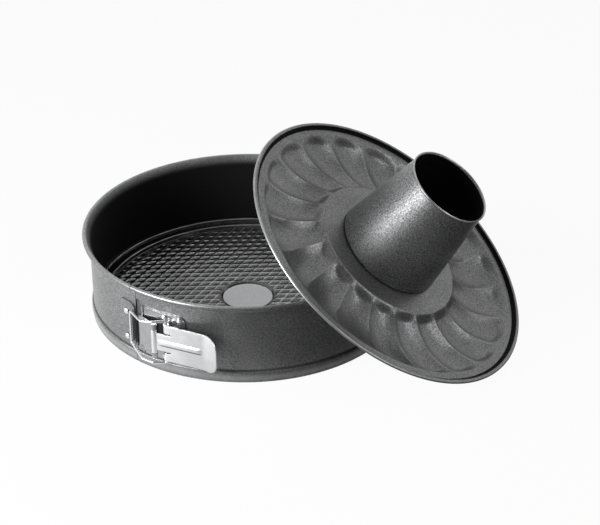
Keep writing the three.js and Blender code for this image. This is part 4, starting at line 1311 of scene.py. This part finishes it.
@dataclass
class Latch:
    """The over-centre latch: lever, bail, pin, rivets and the two riveted brackets."""

    ring: RingSizes = field(default_factory=RingSizes)
    level: float = 31.0
    hinge_arc: float = 23.5
    hinge_standoff: float = 8.0
    pin_radius: float = 1.2
    barrel_bore: float = 1.5
    barrel_radius: float = 2.4
    barrel_half: float = 10.5
    knuckle_end: float = 14.8
    slope: float = 7.0
    sheet: float = 1.2
    width: float = 32.0
    straight: float = 44.0
    tip: float = 13.0
    tip_bend: float = 22.0
    corner: float = 10.0
    neck: float = 15.0
    slit: float = 1.5
    slit_length: float = 4.5
    ear_reach: float = 9.9
    ear_drop: float = 2.0
    ear_bore: float = 1.4
    ear_radius: float = 2.4
    rib_start: float = 5.0
    rib_end: float = 40.0
    rib_width: float = 4.4
    rib_rise: float = 1.0
    wire: float = 1.0
    bail_rest: float = 29.0
    bail_bow: float = 2.8
    bail_bend: float = 3.2
    bail_margin: float = 1.7
    hook_arc: float = -4.5
    hook_standoff: float = 2.6
    keeper_sheet: float = 0.9
    bracket_sheet: float = 1.0
    pin_head: float = 0.8
    pin_head_radius: float = 2.0
    pin_head_gap: float = 0.3
    rivet_radius: float = 1.4
    rivet_head_radius: float = 2.6
    rivet_head: float = 1.3
    rivet_edge: float = 0.25
    rivet_tail: float = 0.8
    rivet_gap: float = 0.6
    keeper_rivet_arc: float = -10.0
    keeper_rivet_spread: float = 23.2
    bracket_rivet_arcs: Point = (29.0, 42.0)
    bracket_rivet_levels: Point = (15.1, 49.9)
    bracket_edge: float = 0.18

    def heading(self) -> float:
        """Direction of the closed lever's outward side, in radians."""
        return self.ring.azimuth(self.hinge_arc) + math.radians(self.slope)

    def hinge(self) -> Vector:
        """Flat place of the lever's hinge."""
        return self.ring.place(self.hinge_arc, self.ring.outer_radius + self.hinge_standoff)

    def pose(self) -> Matrix:
        """Frame of the closed lever: X outward, Y along it from the hinge, Z up."""
        return Matrix.Translation((*self.hinge(), self.level)) @ Matrix.Rotation(self.heading(), 4, "Z")

    def sleeve(self, outer: float, bore: float, low: float, high: float, x: float, y: float) -> Part:
        """A rolled sleeve round an upright line.

        Args:
            outer: Outside radius.
            bore: Inside radius.
            low: Height of its foot.
            high: Height of its top.
            x: Place of the line outward of the hinge.
            y: Place of the line along the lever.

        Returns:
            The vertices and the faces.
        """
        ease = 0.25
        section = [
            Vector((bore, low)),
            Vector((outer - ease, low)),
            Vector((outer, low + ease)),
            Vector((outer, high - ease)),
            Vector((outer - ease, high)),
            Vector((bore, high)),
        ]
        return moved(lathe(section, 32), Matrix.Translation((x, y, 0.0)))

    def lever_rows(self) -> list[Place]:
        """Rows across the lever as its outward place, its place along Y, and its half width there.

        Returns:
            The rows, from the hinge to the tip.
        """
        bend = math.radians(self.tip_bend)
        end = Vector((self.tip * math.sin(bend), self.straight + self.tip * math.cos(bend)))
        path = rounded([(0.0, 0.0, 0.0), (0.0, self.straight, 14.0), (end.x, end.y, 0.0)], 8)
        length = [0.0]
        for before, after in zip(path, path[1:]):
            length.append(length[-1] + (after - before).length)
        half = self.width / 2
        stations = [0.0, 3.3, 6.6, self.ear_reach, self.ear_reach + self.slit_length]
        stations += list(np.linspace(stations[-1], length[-1] - self.corner, 22))[1:]
        stations += [length[-1] - self.corner * math.cos(a) for a in np.linspace(0.0, math.pi / 2, 15)[1:]]
        rows = []
        for station in stations:
            x = float(np.interp(station, length, [p.x for p in path]))
            y = float(np.interp(station, length, [p.y for p in path]))
            over = max(station - (length[-1] - self.corner), 0.0)
            round_off = self.corner - math.sqrt(max(self.corner**2 - over**2, 0.0))
            rows.append((x, y, half - round_off))
        return rows

    def lever_plate(self) -> Part:
        """The lever's sheet at its middle layer, with its slits and its raised rib.

        Returns:
            The vertices and the faces.
        """
        half = self.width / 2
        neck = self.neck / 2
        ear = neck + self.slit
        rib = self.rib_width / 2
        side = [rib * s for s in (0.25, 0.5, 0.65, 0.85, 1.05, 1.3, 1.5)]
        upper = [*side, 4.8, neck, ear, 11.5, 14.0, half]
        across = [-v for v in reversed(upper)] + [0.0] + upper
        rows = self.lever_rows()
        verts = []
        for x, y, width in rows:
            for v in across:
                rise = self.rib_rise * math.sqrt(max(1 - (v / rib) ** 2, 0.0)) if abs(v) < rib else 0.0
                rise *= float(smoothstep(y, self.rib_start - 1.5, self.rib_start + 1.5))
                rise *= 1 - float(smoothstep(y, self.rib_end - 1.5, self.rib_end + 1.5))
                verts.append((x + rise, y, v * width / half))
        count = len(across)
        faces: Faces = []
        for i in range(len(rows) - 1):
            middle = (rows[i][1] + rows[i + 1][1]) / 2
            for j in range(count - 1):
                out = abs(across[j] + across[j + 1]) / 2
                if middle < self.ear_reach and out > neck:
                    continue
                if middle < self.ear_reach + self.slit_length and neck < out < ear:
                    continue
                faces.append((i * count + j, (i + 1) * count + j, (i + 1) * count + j + 1, i * count + j + 1))
        used = sorted({i for face in faces for i in face})
        number = {old: new for new, old in enumerate(used)}
        return np.array([verts[i] for i in used]), [tuple(number[i] for i in face) for face in faces]

    def rib_painted_shade(self, places: np.ndarray, _normals: np.ndarray) -> np.ndarray:
        """Painted shade: the corner under the lever's rib is dark.

        Args:
            places: The vertices' places, in millimetres.
            _normals: Their normals, unused.

        Returns:
            The value of each vertex, from 0 to 1.
        """
        local = np.c_[places, np.ones(len(places))] @ np.array(self.pose().inverted()).T
        rib = self.rib_width / 2
        below = -local[:, 2] / rib
        under = smoothstep(below, 0.65, 0.85) * (1 - smoothstep(below, 1.3, 1.5))
        run = smoothstep(local[:, 1], self.rib_start, self.rib_start + 2) * (
            1 - smoothstep(local[:, 1], self.rib_end - 1, self.rib_end + 2)
        )
        return under * run * (local[:, 0] > 0.3)

    def build_lever(self) -> bpy.types.Object:
        """Builds and dresses the lever: its thick sheet, its barrel and its two ears.

        Returns:
            The dressed object.
        """
        pose = self.pose()
        plate = make_piece("lever_sheet", moved(self.lever_plate(), pose))
        thick = plate.modifiers.new("thickness", "SOLIDIFY")
        thick.thickness = self.sheet * MM
        thick.offset = 0.0
        soften(plate, 0.22, 50.0)
        settle(plate)
        places = np.empty(len(plate.data.vertices) * 3)
        plate.data.vertices.foreach_get("co", places)
        sheet = (places.reshape(-1, 3) / MM, [tuple(p.vertices) for p in plate.data.polygons])
        bpy.data.objects.remove(plate)
        start = self.neck / 2 + self.slit
        half = self.width / 2
        barrel = self.barrel_half
        sleeves = [self.sleeve(self.barrel_radius, self.barrel_bore, -barrel, barrel, 0.0, 0.0)]
        for low, high in ((start, half), (-half, -start)):
            ear = self.sleeve(self.ear_radius, self.ear_bore, low, high, -self.ear_drop, self.ear_reach)
            sleeves.append(ear)
        piece = make_piece("latch_lever_fine", merge(sheet, *(moved(s, pose) for s in sleeves)), sharp=35.0)
        # Painted shade in the corner under the rib.
        mark(piece.data, "painted_shade", self.rib_painted_shade)
        return dress(piece, BRIGHT_STEEL, Body.LEVER, Slot.STEEL, "latch_lever")

    def bail_route(self) -> list[Vector]:
        """Middle line of the bail's wire in the lever's frame.

        Returns:
            The points of the wire's middle line.
        """
        hook = self.ring.place(self.hook_arc, self.ring.outer_radius + self.hook_standoff) - self.hinge()
        hook.rotate(Matrix.Rotation(-self.heading(), 2))
        wide = self.width / 2 + self.wire + self.bail_margin
        narrow = self.bail_rest / 2
        middle = Vector((self.bail_bow, -self.ear_reach)).lerp(hook, 0.3)
        upper = [
            (-self.ear_drop, self.ear_reach, self.neck / 2 + self.slit + 0.3),
            (-self.ear_drop, self.ear_reach, wide),
            (self.bail_bow, 0.0, wide),
            (self.bail_bow, -self.ear_reach, wide + (narrow - wide) * 0.4),
            (middle.x, middle.y, wide + (narrow - wide) * 0.6),
            (hook.x, hook.y, narrow),
        ]
        lower = [(x, y, -z) for x, y, z in reversed(upper)]
        return rounded([(*p, self.bail_bend) for p in [*upper, *lower]], 8)

    def build_bail(self) -> bpy.types.Object:
        """Builds and dresses the wire bail."""
        part = moved(tube_along(self.bail_route(), self.wire, 18), self.pose())
        return dress(make_piece("wire_bail_fine", part), WIRE_STEEL, Body.BAIL, Slot.WIRE, "wire_bail")

    def build_pin(self) -> bpy.types.Object:
        """Builds and dresses the hinge pin with its two heads.

        Returns:
            The dressed object.
        """
        head = self.knuckle_end + self.pin_head_gap
        half = rounded(
            [
                (0.0, head + self.pin_head, 0.0),
                (self.pin_head_radius, head + self.pin_head, 0.5),
                (self.pin_head_radius, head, 0.1),
                (self.pin_radius, head, 0.05),
                (self.pin_radius, 0.0, 0.0),
            ]
        )[:-1]
        section = half + [Vector((p.x, -p.y)) for p in reversed(half)]
        part = moved(lathe(section, 28), self.pose())
        return dress(make_piece("hinge_pin_fine", part), RIVET_STEEL, Body.RING, Slot.RIVET, "hinge_pin")

    def rivet_places(self) -> dict[str, Place]:
        """Each rivet's node with its arc, its height and the sheet under its head.

        Returns:
            The places by the nodes' names.
        """
        places = {}
        low, high = self.bracket_rivet_levels
        for side, turn in (("upper", 0.5), ("lower", -0.5)):
            height = self.level + turn * self.keeper_rivet_spread
            places[f"keeper_rivet_{side}"] = (self.keeper_rivet_arc, height, self.keeper_sheet)
        for column, along in enumerate(self.bracket_rivet_arcs, 1):
            places[f"bracket_rivet_upper_{column}"] = (along, high, self.bracket_sheet)
            places[f"bracket_rivet_lower_{column}"] = (along, low, self.bracket_sheet)
        return places

    def rivet_section(self, sheet: float) -> list[Vector]:
        """Section of a rivet, with a tail inside the ring, a shank and a domed head.

        Args:
            sheet: Thickness of the bracket under its head.

        Returns:
            The section as radius and distance from the ring's axis.
        """
        tail = self.ring.inner_radius - self.rivet_gap
        seat = self.ring.outer_radius + self.rivet_gap + sheet
        shank, head = self.rivet_radius, self.rivet_head_radius
        crown = self.rivet_head - self.rivet_edge
        dome = []
        for a in np.linspace(0.0, math.pi / 2, 9)[:-1]:
            dome.append((head * math.cos(a), seat + self.rivet_edge + crown * math.sin(a), 0.0))
        return rounded(
            [
                (0.0, tail - self.rivet_tail, 0.0),
                (head, tail - self.rivet_tail, 0.3),
                (head, tail, 0.2),
                (shank, tail, 0.0),
                (shank, seat, 0.0),
                (head, seat, 0.05),
                *dome,
                (0.0, seat + self.rivet_head, 0.0),
            ]
        )

    def build_rivets(self) -> list[bpy.types.Object]:
        """Builds and dresses the six rivets.

        Returns:
            The dressed objects.
        """
        made = []
        for node, (along, height, sheet) in self.rivet_places().items():
            turn = Matrix.Rotation(self.ring.azimuth(along), 4, "Z") @ Matrix.Rotation(math.pi / 2, 4, "Y")
            place = Matrix.Translation((0.0, 0.0, height)) @ turn
            part = moved(lathe(self.rivet_section(sheet), 28), place)
            made.append(dress(make_piece(f"{node}_fine", part), RIVET_STEEL, Body.RING, Slot.RIVET, node))
        return made

    def dress_brackets(self) -> None:
        """Rounds the edges of the two riveted brackets and gives them their finishes."""
        for name, finish in (("keeper_bracket", RING_COATING), ("lever_bracket", BRACKET_STEEL)):
            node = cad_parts[name]
            soften(node, self.bracket_edge, 35.0)
            node.data.materials.clear()
            node.data.materials.append(finish.material())
            LOG.info("%s: %d faces on %s", name, len(node.data.polygons), Body.RING.value)

    def build(self) -> None:
        """Builds the whole latch."""
        self.build_lever()
        self.build_bail()
        self.build_pin()
        self.build_rivets()
        self.dress_brackets()


# Studio


@dataclass
class SoftBox:
    """A square area light aimed at the object.

    Attributes:
        name: The light's name.
        place: Where it stands, in metres.
        size: Its side, in metres.
        power: Its power, in watts.
        target: The point that it is aimed at, in metres.
    """

    name: str
    place: Place
    size: float
    power: float
    target: Place = (0.03, -0.02, 0.05)

    def build(self) -> bpy.types.Object:
        """Builds the light.

        Returns:
            The light's object.
        """
        data = bpy.data.lights.new(self.name, "AREA")
        data.shape = "SQUARE"
        data.size = self.size
        data.energy = self.power
        lamp = bpy.data.objects.new(self.name, data)
        lamp.location = self.place
        aim = Vector(self.target) - Vector(self.place)
        lamp.rotation_mode = "QUATERNION"
        lamp.rotation_quaternion = aim.to_track_quat("-Z", "Y")
        bpy.context.scene.collection.objects.link(lamp)
        return lamp


@dataclass
class PhotoCamera:
    """The photograph's camera, fitted to the rim, the foot and the lines of the base."""

    focal_px: float = 1654.11
    image_width: float = 600.0
    distance: float = 1409.41
    elevation: float = 30.5694
    yaw: float = -1.8243
    pitch: float = 1.1738
    roll: float = 0.9398
    sensor: float = 36.0

    def build(self) -> bpy.types.Object:
        """Builds the camera and makes it the scene's.

        Returns:
            The camera's object.
        """
        lift = math.radians(self.elevation)
        ahead = Vector((0.0, math.cos(lift), -math.sin(lift)))
        right = Vector((1.0, 0.0, 0.0))
        up = right.cross(ahead)
        turn = Matrix.Rotation(math.radians(self.yaw), 3, up)
        ahead, right = turn @ ahead, turn @ right
        turn = Matrix.Rotation(math.radians(self.pitch), 3, right)
        ahead, up = turn @ ahead, turn @ up
        turn = Matrix.Rotation(math.radians(self.roll), 3, ahead)
        right, up = turn @ right, turn @ up
        data = bpy.data.cameras.new("photo_camera")
        data.sensor_width = self.sensor
        data.lens = self.sensor * self.focal_px / self.image_width
        data.clip_start, data.clip_end = 0.05, 60.0
        camera = bpy.data.objects.new("photo_camera", data)
        place = Vector((0.0, -math.cos(lift), math.sin(lift))) * (self.distance * MM)
        basis = Matrix((right, up, -ahead)).transposed()
        camera.matrix_world = Matrix.Translation(place) @ basis.to_4x4()
        bpy.context.scene.collection.objects.link(camera)
        bpy.context.scene.camera = camera
        return camera


@dataclass
class Studio:
    """A white table and backdrop under soft light from the left."""

    floor_size: float = 8.0
    floor_drop: float = 0.0002
    floor_share: float = 0.94
    floor_bounce: float = 0.1
    floor_spot: Place = (0.6, -0.8, 0.0)
    floor_fade: Point = (0.85, 0.97)
    world_spot: Place = (0.0, -1.0, 0.0)
    world_fade: Point = (1.0, 1.6)
    dim_share: float = 0.05
    ambient: float = 0.05

    def seen(
        self, tree: bpy.types.NodeTree, place: bpy.types.NodeSocket, spot: Place, fade: Point
    ) -> bpy.types.NodeSocket:
        """Adds the share of the white background that a ray meets.

        Args:
            tree: The material's or the world's nodes.
            place: Where the ray ends, or its direction.
            spot: Middle of the dim part of the studio, in front and to the right.
            fade: Distances from that middle within which reflections are dim and beyond which they are white.

        Returns:
            The output: 1 for rays from the camera or a transmission, less for reflections of the dim part.
        """
        link = tree.links.new
        ways = add_node(tree, "ShaderNodeLightPath")
        apart = add_node(tree, "ShaderNodeVectorMath", operation="DISTANCE")
        apart.inputs[1].default_value = spot
        link(place, apart.inputs[0])
        limits = {"From Min": fade[0], "From Max": fade[1], "To Min": self.dim_share, "To Max": 1.0}
        share = add_node(tree, "ShaderNodeMapRange", limits)
        link(apart.outputs["Value"], share.inputs["Value"])
        glossy = add_node(tree, "ShaderNodeMath", operation="MULTIPLY")
        link(ways.outputs["Is Glossy Ray"], glossy.inputs[0])
        link(share.outputs["Result"], glossy.inputs[1])
        straight = add_node(tree, "ShaderNodeMath", operation="MAXIMUM")
        link(ways.outputs["Is Camera Ray"], straight.inputs[0])
        link(ways.outputs["Is Transmission Ray"], straight.inputs[1])
        either = add_node(tree, "ShaderNodeMath", operation="MAXIMUM")
        link(straight.outputs["Value"], either.inputs[0])
        link(glossy.outputs["Value"], either.inputs[1])
        return either.outputs["Value"]

    def build_floor(self) -> bpy.types.Object:
        """Builds the pale floor, which keeps a faint shadow under the white that the camera sees.

        Returns:
            The floor.
        """
        half = self.floor_size / 2
        mesh = bpy.data.meshes.new("floor")
        corners = [(-half, -half), (half, -half), (half, half), (-half, half)]
        mesh.from_pydata([(x, y, -self.floor_drop) for x, y in corners], [], [(0, 1, 2, 3)])
        floor = bpy.data.objects.new("floor", mesh)
        bpy.context.scene.collection.objects.link(floor)
        paper = bpy.data.materials.new("white_paper")
        paper.use_nodes = True
        tree, link = paper.node_tree, paper.node_tree.links.new
        shader = tree.nodes["Principled BSDF"]
        shader.inputs["Base Color"].default_value = (0.9, 0.9, 0.9, 1.0)
        shader.inputs["Roughness"].default_value = 0.9
        shader.inputs["Specular IOR Level"].default_value = 0.0
        glow = add_node(tree, "ShaderNodeEmission")
        lit = add_node(tree, "ShaderNodeMixShader", {"Fac": self.floor_share})
        link(shader.outputs["BSDF"], lit.inputs[1])
        link(glow.outputs["Emission"], lit.inputs[2])
        bounce = (self.floor_bounce, self.floor_bounce, self.floor_bounce, 1.0)
        dull = add_node(tree, "ShaderNodeBsdfDiffuse", {"Color": bounce})
        mix = add_node(tree, "ShaderNodeMixShader")
        spot = add_node(tree, "ShaderNodeNewGeometry")
        seen = self.seen(tree, spot.outputs["Position"], self.floor_spot, self.floor_fade)
        link(seen, mix.inputs["Fac"])
        link(dull.outputs["BSDF"], mix.inputs[1])
        link(lit.outputs["Shader"], mix.inputs[2])
        link(mix.outputs["Shader"], tree.nodes["Material Output"].inputs["Surface"])
        mesh.materials.append(paper)
        return floor

    def build_world(self) -> None:
        """Builds the white surround, dimmer as a light than as a background."""
        world = bpy.data.worlds.new("studio")
        world.use_nodes = True
        tree = world.node_tree
        shade = tree.nodes["Background"]
        shade.inputs["Color"].default_value = (1.0, 1.0, 1.0, 1.0)
        strength = add_node(tree, "ShaderNodeMapRange", {"To Min": self.ambient, "To Max": 1.0})
        way = add_node(tree, "ShaderNodeTexCoord")
        seen = self.seen(tree, way.outputs["Generated"], self.world_spot, self.world_fade)
        tree.links.new(seen, strength.inputs["Value"])
        tree.links.new(strength.outputs["Result"], shade.inputs["Strength"])
        bpy.context.scene.world = world

    def build(self) -> None:
        """Builds the floor, the surround, the lights and the camera."""
        scene = bpy.context.scene
        scene.view_settings.view_transform = "Standard"
        self.build_floor()
        self.build_world()
        SoftBox("key_left", (-1.1, -0.7, 0.6), 0.7, 27.0).build()
        SoftBox("fill_right", (1.0, -0.7, 0.78), 0.9, 6.0).build()
        PhotoCamera().build()


def main() -> None:
    """Builds every piece over the frame, then the studio."""
    logging.basicConfig(level=logging.INFO, format="%(name)s: %(message)s")
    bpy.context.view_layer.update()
    FlatBase().build()
    SideBand().build()
    TubeBase().build()
    Latch().build()
    Studio().build()


if __name__ == "__main__":
    main()
